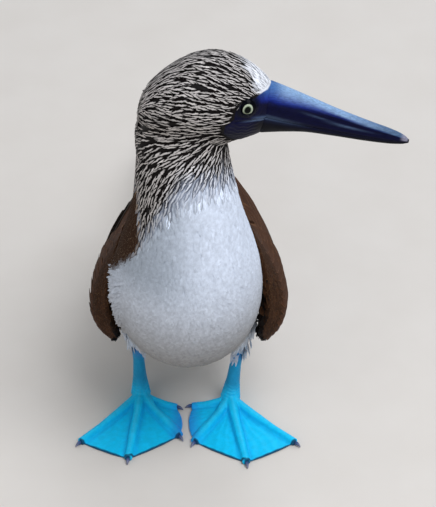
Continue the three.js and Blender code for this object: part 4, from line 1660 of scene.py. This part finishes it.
@dataclass
class Wing:
    """A folded wing: a feathered arm and tiers of feathers over one curved face.

    The face is spanned by three curves from front to tip, given for the left wing: along the back, along the
    widest line, and along the lower edge from the wrist.
    """

    label: str
    back_line: tuple = ((43, -31, 229), (39, -4, 198), (33, 26, 171), (26, 66, 151), (18, 118, 135),
                        (13, 178, 120), (12, 245, 106), (16, 322, 80))
    side_line: tuple = ((66, -54, 158), (75.5, -29, 138), (72.5, 12, 133), (66, 60, 123), (53, 118, 112),
                        (33, 178, 105), (23, 245, 98), (17, 323, 78))
    low_line: tuple = ((53, -48, 101), (60, -28, 86), (64, 10, 79), (61, 60, 79), (49, 118, 84),
                       (34, 178, 92), (25, 245, 94), (18, 324, 76))
    reach: float = 0.6
    flesh_end: float = 0.52
    hung: float = 30
    low_deep: float = 14
    quills: float = 1.3

    def __post_init__(self) -> None:
        """Mirrors the lines for the right wing."""
        self.side = SIDES[self.label]
        self.lines = [
            [(MIDLINE + self.side * x, y, z) for x, y, z in line]
            for line in (self.back_line, self.side_line, self.low_line)
        ]

    def place(self, s: Array, t: Array) -> Array:
        """Point of the outer face, s from front to tip and t from back to low edge.

        Args:
            s: shares from front to tip.
            t: shares from back to low edge.

        Returns:
            A point for each.
        """
        back, middle, low = (curve(line, s) for line in self.lines)
        t = np.asarray(t)[..., None]
        return back * (1 - t) * (1 - 2 * t) + middle * 4 * t * (1 - t) + low * t * (2 * t - 1)

    def face(self, s: Array, t: Array) -> tuple[Array, Array]:
        """Place and outward normal.

        Args:
            s: shares from front to tip.
            t: shares from back to low edge.

        Returns:
            A point and a normal for each.
        """
        step = 0.01
        s = np.clip(s, 0, 1)
        along_s = self.place(np.minimum(1, s + step), t) - self.place(np.maximum(0, s - step), t)
        along_t = self.place(s, t + step) - self.place(s, t - step)
        return self.place(s, t), unit(np.cross(along_s, along_t)) * -self.side

    def arm(self) -> Object:
        """The feathered arm under the tiers, thick at the shoulder and thin towards its lower edge.

        Returns:
            The finished piece.
        """
        steps, sides = 44, 26
        rings = []
        for step in range(steps + 1):
            s = step / steps * self.reach
            rounding = math.sqrt(min(1, (step * 9 / steps + 0.12) / 3))
            margin = 0.1 * (1 - rounding) + 0.13 * float(smooth(s, 0.3, 0.55))
            t = np.linspace(margin, 1 - margin, sides + 1)
            place, normal = self.face(np.full(len(t), s), t)
            outer = (rounding - 1) * 4 - 0.6 * float(smooth(s, 0.3, 0.5)) - 0.8
            deep = self.hung + (self.low_deep - self.hung) * smooth(t, 0.2, 0.7)
            deep = deep + (self.quills - deep) * float(smooth(s, 0, self.flesh_end))
            shape = np.sin(np.pi * (0.09 + 0.82 * np.linspace(0, 1, sides + 1))) ** 0.5
            inner = outer - np.maximum(self.quills, np.maximum(self.quills, deep * shape) * rounding)
            rings.append(np.vstack([place + normal * outer, (place + normal * inner[:, None])[::-1]]))
        made = loft(f"wing_{self.label}_arm", np.array(rings))
        unwrap(made)
        paint(made.data, "tint", plain("#120c09", len(made.data.vertices)))
        made.data.materials.append(BareSkin(f"arm_skin_{self.label}", 0.8, 1.2, 0.1).build())
        return enter(made, "brown_feather", f"wing_{self.label}")

    def tiers(self) -> list[Tier]:
        """Rows of long feathers, hindmost first.

        Returns:
            The rows, the flight feathers first.
        """
        return [
            Tier(8, ((0.38, 0.3), (0.34, 0.84)), ((0.76, 0.22), (1, 0.7)), 17, (-0.9, 0.0), "#2b211a", DARK,
                 tilt=0.3, stack=-0.42, point=0.34),
            Tier(9, ((0.27, 0.4), (0.24, 0.9)), ((0.63, 0.38), (0.48, 0.95)), 19, (-1.6, 0.8), "#46352a",
                 "#211711"),
            Tier(5, ((0.28, 0.07), (0.26, 0.34)), ((0.6, 0.08), (0.7, 0.34)), 21, (-1.6, 2.0)),
            Tier(12, ((0.22, 0.12), (0.18, 0.9)), ((0.4, 0.14), (0.31, 0.93)), 19, (-2.0, 1.8)),
            Tier(13, ((0.17, 0.12), (0.14, 0.9)), ((0.32, 0.14), (0.26, 0.92)), 18, (-2.0, 2.0)),
            Tier(14, ((0.12, 0.12), (0.1, 0.88)), ((0.25, 0.14), (0.21, 0.9)), 16, (-2.0, 2.1)),
            Tier(6, ((0.2, 0.02), (0.24, 0.2)), ((0.4, 0.04), (0.5, 0.22)), 20, (-1.5, 3.0)),
            Tier(6, ((0.12, 0.02), (0.16, 0.2)), ((0.28, 0.03), (0.34, 0.2)), 20, (-1.5, 3.1)),
        ]

    def build(self) -> list[Object]:
        """Makes the arm, its rows of long feathers and its small coverts.

        Returns:
            The pieces, in the order made.
        """
        arm = self.arm()
        row = BladeRow(self.face, 60 + self.side)
        for tier in self.tiers():
            for blade in tier.blades(row.rng):
                row.add(blade)
        finish = Plumage(f"flight_feathers_{self.label}", Pattern.PALE_EDGE, roughness=0.6, barbs=60).build()
        feathers = row.build(f"wing_{self.label}_feathers", "brown_feather", finish)
        return [arm, feathers, self.small_coverts(arm)]

    def flow(self, p: Array, normal: Array) -> Array:
        """Lie of the small coverts: down the wrist, then towards the wing's tip.

        Args:
            p: places on the bird.
            normal: the skin's outward normal at each.

        Returns:
            A direction for each place.
        """
        down = np.array([0.0, 0.25, -1.0])
        rear = np.array([-self.side * 0.2, 1.0, -0.45])
        return laid(blend(np.broadcast_to(down, p.shape), rear, smooth(p[:, 1], -45, 5)), normal)

    def small_coverts(self, arm: Object) -> Object:
        """Small feathers that cover the front of the wing and its lining.

        Args:
            arm: what they grow on.

        Returns:
            The finished piece.
        """
        def wanted(p: Array, normal: Array) -> Array:
            """1 on the front of the wing, which the tiers leave free."""
            return (p[:, 1] < 60) * 1.0

        roots = scatter(arm.data, even_spacing, wanted, self.flow, 70 + self.side, 1.7)
        rng = np.random.default_rng(80 + self.side)
        p, normal = roots.place, roots.normal
        way = turned(self.flow(p, normal), normal, rng.normal(0, 6, len(p)))
        outer = smooth(normal[:, 0] * self.side, -0.15, 0.55)
        vary = np.exp(rng.normal(0, 0.1, len(p)))
        length = 7.5 + 4.5 * smooth(p[:, 1], -45, 0)
        size = np.stack([length * vary, 1.75 * vary, length], 1)
        # painted light and shade: lighter brown where the coverts face out into the light, darker where they
        # face the body
        tint = layered(plain("#2a170e", len(p)), ("#77593c", outer))
        shade = layered(plain("#0e0806", len(p)), ("#3a2416", outer))
        # painted shade: near black low on the inner side, in the shadow between wing and belly
        low = smooth(p[:, 2], 165, 95) * (1 - outer)
        inner = smooth(-normal[:, 0] * self.side, 0.1, 0.6)
        lining = inner * smooth(p[:, 2], 94, 106) * smooth(p[:, 1], 15, -10)
        size[:, 0] *= 0.6 + 0.4 * smooth(p[:, 2], 84, 100)
        finish = Plumage(f"small_coverts_{self.label}", Pattern.PALE_EDGE, roughness=0.7).build()
        tint = uneven(rng, blend(tint, tint * 0.12, low), 0.15)
        shade = uneven(rng, blend(shade, shade * 0.15, low), 0.15)
        coat = Coat(f"wing_{self.label}_coverts", CONTOUR, "brown_feather", finish, Surface(arm.data),
                    0.35, 0.2)
        return coat.lay(roots, way, size, tint, shade, lining * rng.uniform(0.3, 2.5, len(p)))


@dataclass
class Tail:
    """A closed wedge of long feathers on a stub, the middle pair longest and on top."""

    length: float = 212
    pitch: float = -15
    spread: float = 11.8
    root_width: float = 7
    droop: float = 4
    start: tuple[float, float, float] = (MIDLINE, 166, 98)
    pairs: int = 7
    stack: float = 0.55
    sides: int = 32

    def face(self, under: bool) -> Callable[[Array, Array], tuple[Array, Array]]:
        """Surface of the tail, s from stub to tip and t across from -1 to 1.

        Args:
            under: whether it faces down.

        Returns:
            A function of both that gives places and normals.
        """
        lean = math.radians(self.pitch)
        along = np.array([0, math.cos(lean), math.sin(lean)])
        up = np.array([0, -math.sin(lean), math.cos(lean)])

        def read(s: Array, t: Array) -> tuple[Array, Array]:
            """Place and outward normal.

            Args:
                s: shares along.
                t: shares across.

            Returns:
                A point and a normal for each.
            """
            angle = np.radians(self.spread * np.asarray(t))
            sideways = s * self.length * np.sin(angle) + t * self.root_width
            place = np.array(self.start) + np.outer(sideways, [1, 0, 0])
            place = place + np.outer(s * self.length * np.cos(angle), along)
            place = place - np.outer(self.droop * t * t, up)
            return place, np.tile(-up if under else up, (len(s), 1))

        return read

    def stub(self) -> Object:
        """The fleshy root of the tail.

        Returns:
            The finished piece.
        """
        sizes = ((150.0, 103, 14, 7), (166.0, 99, 13.5, 7), (185.0, 94, 12.5, 5.5), (205.0, 88, 8, 3))
        angle = np.linspace(0, 2 * np.pi, self.sides, endpoint=False)
        rings = [
            np.stack([MIDLINE + wide * np.sin(angle), np.full(self.sides, y), z + high * np.cos(angle)], 1)
            for y, z, wide, high in sizes
        ]
        made = loft("tail_stub", np.array(rings))
        unwrap(made)
        paint(made.data, "tint", plain("#b9b2ab", len(made.data.vertices)))
        made.data.materials.append(BareSkin("stub_skin", 0.8, 1.2, 0.1).build())
        return enter(made, "tail_feather", "tail")

    def root_coat(self, stub: Object) -> Object:
        """White feathers over the tail's root, which carry on the rump's.

        Args:
            stub: what they grow on.

        Returns:
            The finished piece.
        """
        def flow(p: Array, normal: Array) -> Array:
            """Backwards along the tail."""
            return laid(np.broadcast_to(np.array([0, 1.0, -0.27]), p.shape), normal)

        def wanted(p: Array, normal: Array) -> Array:
            """1 on the stub's sides behind the rump, 0 on its ends."""
            return (np.abs(normal[:, 1]) < 0.8) * (p[:, 1] > 162) * 1.0

        roots = scatter(stub.data, even_spacing, wanted, flow, 90, 1.6)
        rng = np.random.default_rng(91)
        vary = np.exp(rng.normal(0, 0.12, len(roots.place)))
        size = np.outer(vary, (14, 2.2, 9))
        white = plain("#d6d4d4", len(vary))
        tint, shade = uneven(rng, white, 0.05), uneven(rng, white * 0.92, 0.05)
        finish = Plumage("rump_feathers", Pattern.PALE_EDGE, roughness=0.9, gloss=0.1).build()
        coat = Coat("tail_root_coat", DOWN, "white_down", finish, Surface(stub.data), 1.0, 0.2)
        return coat.lay(roots, flow(roots.place, roots.normal), size, tint, shade)

    def build(self) -> list[Object]:
        """Makes the stub, the long feathers and the coverts over and under them.

        Returns:
            The pieces, in the order made.
        """
        stub = self.stub()
        root_coat = self.root_coat(stub)
        row = BladeRow(self.face(False), 5)
        for pair in range(self.pairs):
            share = pair / (self.pairs - 1)
            for side in (1, -1):
                t = side * (0.1 + 0.9 * share)
                tone = math.exp(row.rng.normal(0, 0.06))
                end = 1 - 0.44 * share - 0.012 * row.rng.random()
                low = -self.stack * pair
                dark = blend(linear("#8c7c6d"), linear("#3b2d24"), min(1, share * 1.5))
                row.add(Blade((-0.02, t), (end, t), 25 * (1 - 0.28 * share), (low, low + 0.3),
                              tilt=side * 0.4, point=0.45, thickness=0.6, camber=0.6, shaft=0.6,
                              tint=linear("#a8998a") * tone, shade=dark * tone))
        for layer in ((9, 0.4, 14, (0.2, 1.6)), (8, 0.3, 15, (0.8, 2.8)), (7, 0.2, 16, (1.2, 4.0))):
            self.coverts(row, *layer)
        vanes = Plumage("tail_vanes", Pattern.PALE_EDGE, 0.6, 60).build()
        above = row.build("tail_feathers", "tail_feather", vanes)
        row = BladeRow(self.face(True), 6)
        for layer in ((9, 0.42, 15, (3.5, 4.4)), (7, 0.28, 16, (4.5, 5.5))):
            self.coverts(row, *layer)
        vanes = Plumage("under_coverts", Pattern.PALE_EDGE, 0.7).build()
        return [stub, root_coat, above, row.build("tail_under_coverts", "tail_feather", vanes)]

    def coverts(self, row: BladeRow, count: int, reach: float, width: float,
                lift: tuple[float, float]) -> None:
        """Adds one row of white coverts across the tail's root.

        Args:
            row: where they go.
            count: how many they are.
            reach: length of the middle one as a share of the tail's.
            width: of each.
            lift: heights of root and tip over the tail.
        """
        for i in range(count):
            t = -0.8 + 1.6 * i / (count - 1)
            tone = math.exp(row.rng.normal(0, 0.05))
            row.add(Blade((0, t * 0.8), (reach * (1 - 0.25 * abs(t)), t), width, lift, 0.3 * np.sign(t), 0.5,
                          tint=linear("#dcdad8") * tone, shade=linear("#b8b0a8") * tone))


@dataclass
class Bill:
    """A long straight dagger: outline heights at shares of its length, in the head's frame."""

    base: float = 17
    length: float = 108
    sunk: float = 0.045
    gap: float = 0.3
    steps: int = 90
    root_taper: float = 0.97
    stations: tuple = ((0, 14.2, -9, -25.5, 13), (0.13, 11.4, -10.6, -22.2, 10.6),
                       (0.3, 7.2, -12, -18.8, 8.2), (0.5, 2.2, -12.8, -18, 6.4), (0.7, -2, -13, -17.6, 5),
                       (0.86, -5, -13, -16.6, 3.6), (0.95, -7.6, -12.8, -15.2, 2.3),
                       (1, -10.8, -12.6, -13.4, 0.8))
    upper_arch: tuple = ((1, 0), (1, 0.12), (0.985, 0.25), (0.97, 0.38), (0.9, 0.455), (0.875, 0.5),
                         (0.885, 0.55), (0.84, 0.64), (0.76, 0.74), (0.63, 0.84), (0.44, 0.93), (0.22, 0.985),
                         (0, 1))
    lower_arch: tuple = ((0.94, 0), (0.95, 0.14), (0.93, 0.32), (0.86, 0.52), (0.74, 0.7), (0.56, 0.85),
                         (0.3, 0.96), (0, 1))

    def outline(self, share: Array) -> tuple[Array, ...]:
        """Share, ridge, edge, keel and half width along the bill.

        Args:
            share: places from 0 at the base to 1 at the tip.

        Returns:
            A value of each kind for each place.
        """
        rows = curve([(s, r, w) for s, r, _, _, w in self.stations], share)
        mouth = curve([(s, e, k) for s, _, e, k, _ in self.stations], share)
        return rows[:, 0], rows[:, 1], mouth[:, 1], mouth[:, 2], rows[:, 2]

    def half(self, name: str, upper: bool, replaced: str) -> Object:
        """Makes the upper or the lower half.

        Args:
            name: the piece's name.
            upper: whether it is the ridged upper half.
            replaced: the solid that it stands for.

        Returns:
            The finished piece.
        """
        along = np.linspace(0, 1, self.steps + 1)
        share, ridge, edge, keel, wide = self.outline(along)
        arch = np.array(self.upper_arch if upper else self.lower_arch)
        start = edge + self.gap / 2 if upper else edge - self.gap / 2
        end = ridge if upper else keel
        right = np.stack([
            np.broadcast_to(self.base + self.gap + share[:, None] * self.length, (len(along), len(arch))),
            wide[:, None] * arch[None, :, 0],
            start[:, None] + (end - start)[:, None] * arch[None, :, 1]], 2)
        left = right[:, ::-1][:, 1:] * np.array([1, -1, 1])
        rings = np.concatenate([right, left], 1)
        middle = np.array([self.base, 0, (start[0] + end[0]) / 2])
        root = middle + (rings[0] - middle) * self.root_taper - np.array([self.sunk * self.length, 0, 0])
        rings = np.concatenate([root[None], rings])
        made = loft(name, BIRD.from_head(rings.reshape(-1, 3)).reshape(rings.shape))
        unwrap(made)
        self.colour(made)
        made.data.materials.append(Horn(f"{name}_horn").build())
        return enter(made, "bill_horn", replaced)

    def colour(self, made: Object) -> None:
        """Light blue on the ridge under a painted sky reflection, navy down the sides, near black below, a
        pale gape line and a painted highlight along the groove.

        Args:
            made: the half that is painted.
        """
        head = BIRD.to_head(points_of(made.data))
        share = np.clip((head[:, 0] - self.base) / self.length, 0, 1)
        _, ridge, edge, *_ = self.outline(share)
        high = np.clip((head[:, 2] - edge) / (ridge - edge), -2, 1)
        paint(made.data, "tint", MARKINGS.horn(high, share))

    def build(self) -> list[Object]:
        """Makes both halves."""
        return [self.half("bill_upper", True, "upper_bill"), self.half("bill_lower", False, "lower_bill")]


@dataclass
class Eyes:
    """Both eyeballs."""

    radius: float = 7.5
    segments: int = 48
    rings: int = 32

    def build(self) -> list[Object]:
        """Makes each eyeball in its solid's place.

        Returns:
            The pieces, in the order made.
        """
        pieces = []
        for label, side in SIDES.items():
            made = bmesh.new()
            place = Matrix.Translation(Vector(BIRD.metres(BIRD.eye(side))))
            bmesh.ops.create_uvsphere(made, u_segments=self.segments, v_segments=self.rings,
                                      radius=self.radius * MM, matrix=place)
            mesh = bpy.data.meshes.new(f"eyeball_{label}")
            made.to_mesh(mesh)
            made.free()
            shade_smooth(mesh)
            mesh.materials.append(EyeFinish(f"wet_eye_{label}", side).build())
            pieces.append(enter(linked(f"eyeball_{label}", mesh), "eyeball", f"eye_{label}"))
        return pieces


def off_line(p: Array, start: Array, end: Array) -> tuple[Array, Array]:
    """Measures how far points are from a straight line.

    Args:
        p: the points.
        start: one end of the line.
        end: its other end.

    Returns:
        Distances, and the shares of the line at which the points are nearest.
    """
    line = end - start
    share = np.clip(((p - start) @ line) / (line @ line), 0, 1)
    return np.linalg.norm(p - start - share[:, None] * line, axis=1), share


@dataclass
class Leg:
    """A bare shank and webbed foot, with its claws."""

    label: str
    root: tuple[float, float]
    splay: tuple[float, float, float, float]
    toe: float = 75
    shares: tuple[float, ...] = (0.97, 1, 0.77, 0.43)
    toe_names: tuple[str, ...] = ("outer", "middle", "inner", "hind")
    swell: float = 0.22
    voxel: float = 0.62
    gap: float = 0.3
    lobe_reach: float = 3.4

    def __post_init__(self) -> None:
        """Puts the heel, where the toes meet, on the floor."""
        self.heel = np.array([*self.root, 0.0])

    def direction(self, i: int) -> Array:
        """Which way a toe points."""
        angle = math.radians(self.splay[i])
        return np.array([SIDES[self.label] * math.sin(angle), -math.cos(angle), 0])

    def tips(self) -> Array:
        """Ends of the toes, on the floor."""
        return np.array([self.heel + self.direction(i) * self.toe * share
                         for i, share in enumerate(self.shares)])

    def toe_distance(self, p: Array) -> tuple[Array, Array]:
        """Distance of each point to the nearest toe's line, and how far along that toe it is.

        Args:
            p: places on the bird.

        Returns:
            Both in mm, for each place.
        """
        best = np.full(len(p), 1e9)
        run = np.zeros(len(p))
        for tip in self.tips()[:, :2]:
            away, share = off_line(p[:, :2], self.heel[:2], tip)
            run = np.where(away < best, share * np.linalg.norm(tip - self.heel[:2]), run)
            best = np.minimum(best, away)
        return best, run

    def rim_distance(self, p: Array) -> Array:
        """Distance of each point to the web's free front edge."""
        outer, middle, inner, _ = self.tips()[:, :2]
        return np.minimum(off_line(p[:, :2], outer, middle)[0], off_line(p[:, :2], middle, inner)[0])

    def relief(self, p: Array, normal: Array) -> Array:
        """Height of creases, scutes and wrinkles over the smooth skin, in mm.

        Args:
            p: places on the bird.
            normal: the skin's outward normal at each.

        Returns:
            A height for each place.
        """
        away, run = self.toe_distance(p)
        flat = p[:, :2] - self.heel[:2]
        angle = np.degrees(np.arctan2(flat[:, 0], -flat[:, 1]))
        reach = np.linalg.norm(flat, axis=1)
        on_web = smooth(away, 3.5, 7) * smooth(p[:, 2], 8, 3) * smooth(normal[:, 2], 0.2, 0.7)
        creases = np.sin(np.radians(angle) * 46 + 0.8 * np.sin(reach * 0.21)) * smooth(reach, 12, 26)
        scutes = np.abs(np.sin(run * math.pi / 2.6)) ** 0.5 - 0.6
        on_toe = smooth(away, 4.2, 2.6) * smooth(normal[:, 2], 0.1, 0.6) * smooth(p[:, 2], 16, 11)
        rings = np.sin(p[:, 2] * 2 * math.pi / 2.7 + 1.1 * np.sin(angle * 0.03))
        shank = smooth(p[:, 2], 9, 12) * smooth(p[:, 2], 27, 17)
        plates = np.abs(np.sin(p[:, 2] * math.pi / 3.4)) ** 0.4 - 0.6
        front = smooth(-normal[:, 1], 0.0, 0.6) * smooth(p[:, 2], 20, 28)
        return 0.16 * creases * on_web + 0.22 * scutes * on_toe + 0.3 * rings * shank + 0.22 * plates * front

    def lobe(self, p: Array) -> Array:
        """Rounds the web's inner edge outwards between the inner and the hind toe.

        Args:
            p: places on the bird.

        Returns:
            The places, moved.
        """
        inner, hind = self.tips()[2, :2], self.tips()[3, :2]
        line = hind - inner
        out = unit(np.array([line[1], -line[0]]))
        out = out * np.sign(out @ (inner - self.heel[:2]))
        share = ((p[:, :2] - inner) @ line) / (line @ line)
        deep = (inner - p[:, :2]) @ out
        swell = self.lobe_reach * np.sin(np.pi * np.clip(share, 0, 1)) ** 0.8
        swell = swell * smooth(deep, 14, 0) * (p[:, 2] < 14)
        return p + np.outer(swell, [*out, 0])

    def skin(self) -> Object:
        """Makes shank, toes and web as one skin.

        Returns:
            The finished piece.
        """
        nodes = [f"tarsus_{self.label}", f"foot_{self.label}"]
        leg = swollen_copies(f"leg_{self.label}", nodes, self.swell)
        fuse(leg, self.voxel, 5)
        mesh = leg.data
        p, normal = points_of(mesh), normals_of(mesh)
        p = self.lobe(p + normal * (self.relief(p, normal) - 0.1)[:, None])
        p[:, 2] = np.maximum(p[:, 2], 0.0)
        move_points(mesh, p)
        shade_smooth(mesh)
        unwrap(leg)
        self.colour(mesh)
        mesh.materials.append(BareSkin(f"webbed_skin_{self.label}", 0.48, 1.1, 0.16, 0.07).build())
        return enter(leg, "foot_skin", *nodes)

    def colour(self, mesh: Mesh) -> None:
        """Bright web with painted shade in the creases beside the toes and where the feet meet, a painted
        highlight on each toe's top, duller shank, dark free edge.

        Args:
            mesh: what is painted.
        """
        p = points_of(mesh)
        away, _ = self.toe_distance(p)
        # painted highlight along the top of each toe
        toe_highlight = 0.5 * smooth(away, 1.8, 0.6) * smooth(p[:, 2], 4, 7)
        from_heel = np.linalg.norm(p[:, :2] - self.heel[:2], axis=1)
        # painted shade where the two feet meet, darker and more purple
        between = smooth(np.abs(p[:, 0] - 2.3), 17, 1) * smooth(from_heel, 14, 34)
        rim = 0.9 * smooth(self.rim_distance(p), 1.7, 0.5) * smooth(p[:, 2], 9, 5)
        paint(mesh, "tint", layered(
            # painted shade: the first layer below darkens the creases beside each toe
            plain("#10c6f4", len(p)), ("#139fdc", 0.5 * hump(away, 4.6, 1.4)), ("#3ccdf6", toe_highlight),
            ("#2f74d8", 0.7 * between), ("#2496c0", smooth(p[:, 2], 10, 24)),
            ("#4a76b4", 0.7 * smooth(p[:, 2], 38, 50)), ("#142c50", rim)))

    def claws(self) -> list[Object]:
        """A small hooked claw on the end of each toe.

        Returns:
            The pieces, in the order made.
        """
        spine = ((0, 2.3, 1.5, 1.7), (1.2, 2.5, 1.45, 1.65), (2.4, 2.5, 1.3, 1.5), (3.5, 2.25, 1.05, 1.2),
                 (4.4, 1.85, 0.8, 0.9), (5.1, 1.4, 0.5, 0.6), (5.5, 1.0, 0.2, 0.25))
        angle = np.linspace(0, 2 * np.pi, 16, endpoint=False)
        pieces = []
        for i, name in enumerate(self.toe_names):
            way = self.direction(i)
            across = np.cross(way, [0, 0, 1])
            start = self.heel + way * (self.toe * self.shares[i] + self.gap)
            rings = np.array([
                start + way * ahead + np.array([0, 0, high])
                + np.outer(np.cos(angle) * wide, across) + np.outer(np.sin(angle) * deep, [0, 0, 1])
                for ahead, high, wide, deep in spine
            ])
            made = loft(f"claw_{self.label}_{name}_horn", rings)
            unwrap(made)
            ahead = (points_of(made.data) - start) @ way
            pale = smooth(ahead, 1.5, 5)
            paint(made.data, "tint", layered(plain("#3d5480", len(pale)), ("#77798c", pale)))
            made.data.materials.append(Horn(f"claw_horn_{self.label}_{name}", 0.4).build())
            pieces.append(enter(made, "claw_horn", f"claw_{self.label}_{name}"))
        return pieces

    def build(self) -> list[Object]:
        """Makes the leg and its claws."""
        return [self.skin(), *self.claws()]


@dataclass
class Studio:
    """Camera at the photograph's viewing angle, plain floor and soft light."""

    photo_long_side: float = 507
    focal_pixels: float = 2304
    elevation: float = 38
    camera_place: tuple[float, float, float] = (29.1, -1435.2, 1275.1)
    sensor: float = 36
    floor_reach: float = 6.0
    aim: tuple[float, float, float] = (0, 0, 0.18)
    daylight: float = 0.48

    def camera(self) -> None:
        """Adds the camera."""
        data = bpy.data.cameras.new("camera")
        data.lens = self.focal_pixels * self.sensor / self.photo_long_side
        data.sensor_width = self.sensor
        made = linked("camera", data)
        made.location = Vector(BIRD.metres(np.array(self.camera_place)))
        made.rotation_euler = (math.radians(90 - self.elevation), 0, 0)
        bpy.context.scene.camera = made

    def light(self, name: str, place: tuple, size: float, power: float, colour: str) -> None:
        """Adds a soft square light that faces the bird.

        Args:
            name: its name.
            place: where it hangs, in metres.
            size: of its side in metres.
            power: in watts.
            colour: of its light.
        """
        data = bpy.data.lights.new(name, "AREA")
        data.size = size
        data.energy = power
        data.color = linear(colour)
        made = linked(name, data)
        made.location = place
        made.rotation_euler = (Vector(self.aim) - Vector(place)).to_track_quat("-Z", "Y").to_euler()

    def build(self) -> None:
        """Adds camera, floor, lights and surroundings."""
        self.camera()
        mesh = bpy.data.meshes.new("floor")
        reach = self.floor_reach
        corners = [(x * reach, y * reach, 0) for x, y in ((-1, -1), (1, -1), (1, 1), (-1, 1))]
        mesh.from_pydata(corners, [], [(0, 1, 2, 3)])
        mesh.materials.append(FloorFinish().build())
        linked("floor", mesh)
        self.light("sky_key", (0.75, -1.0, 2.2), 1.4, 46, "#f4f7ff")
        self.light("front_fill", (-1.4, -1.6, 1.0), 1.6, 5, "#fff6ee")
        self.light("back_rim", (0.4, 1.6, 1.6), 1.2, 14, "#f2f6ff")
        world = bpy.data.worlds.new("surroundings")
        world.use_nodes = True
        background = world.node_tree.nodes["Background"]
        background.inputs[0].default_value = (*linear("#dfe5ee"), 1)
        background.inputs[1].default_value = self.daylight
        bpy.context.scene.world = world
        bpy.context.scene.view_settings.view_transform = "Standard"


def main() -> None:
    """Builds the bird and the studio in order, and reports every piece."""
    logging.basicConfig(level=logging.INFO, format="%(message)s")
    skin = BodySkin().build()
    parts = (Plumes(skin), Wing("left"), Wing("right"), Tail(), Bill(), Eyes(),
             Leg("left", (39.4, -5), (46, 9.7, -30.4, -80)), Leg("right", (-34.9, 0), (41, 6.4, -34.2, -68)))
    for piece in [skin, *(made for part in parts for made in part.build())]:
        log.info("%s: %d faces", piece.name, len(piece.data.polygons))
    Studio().build()


if __name__ == "__main__":
    main()
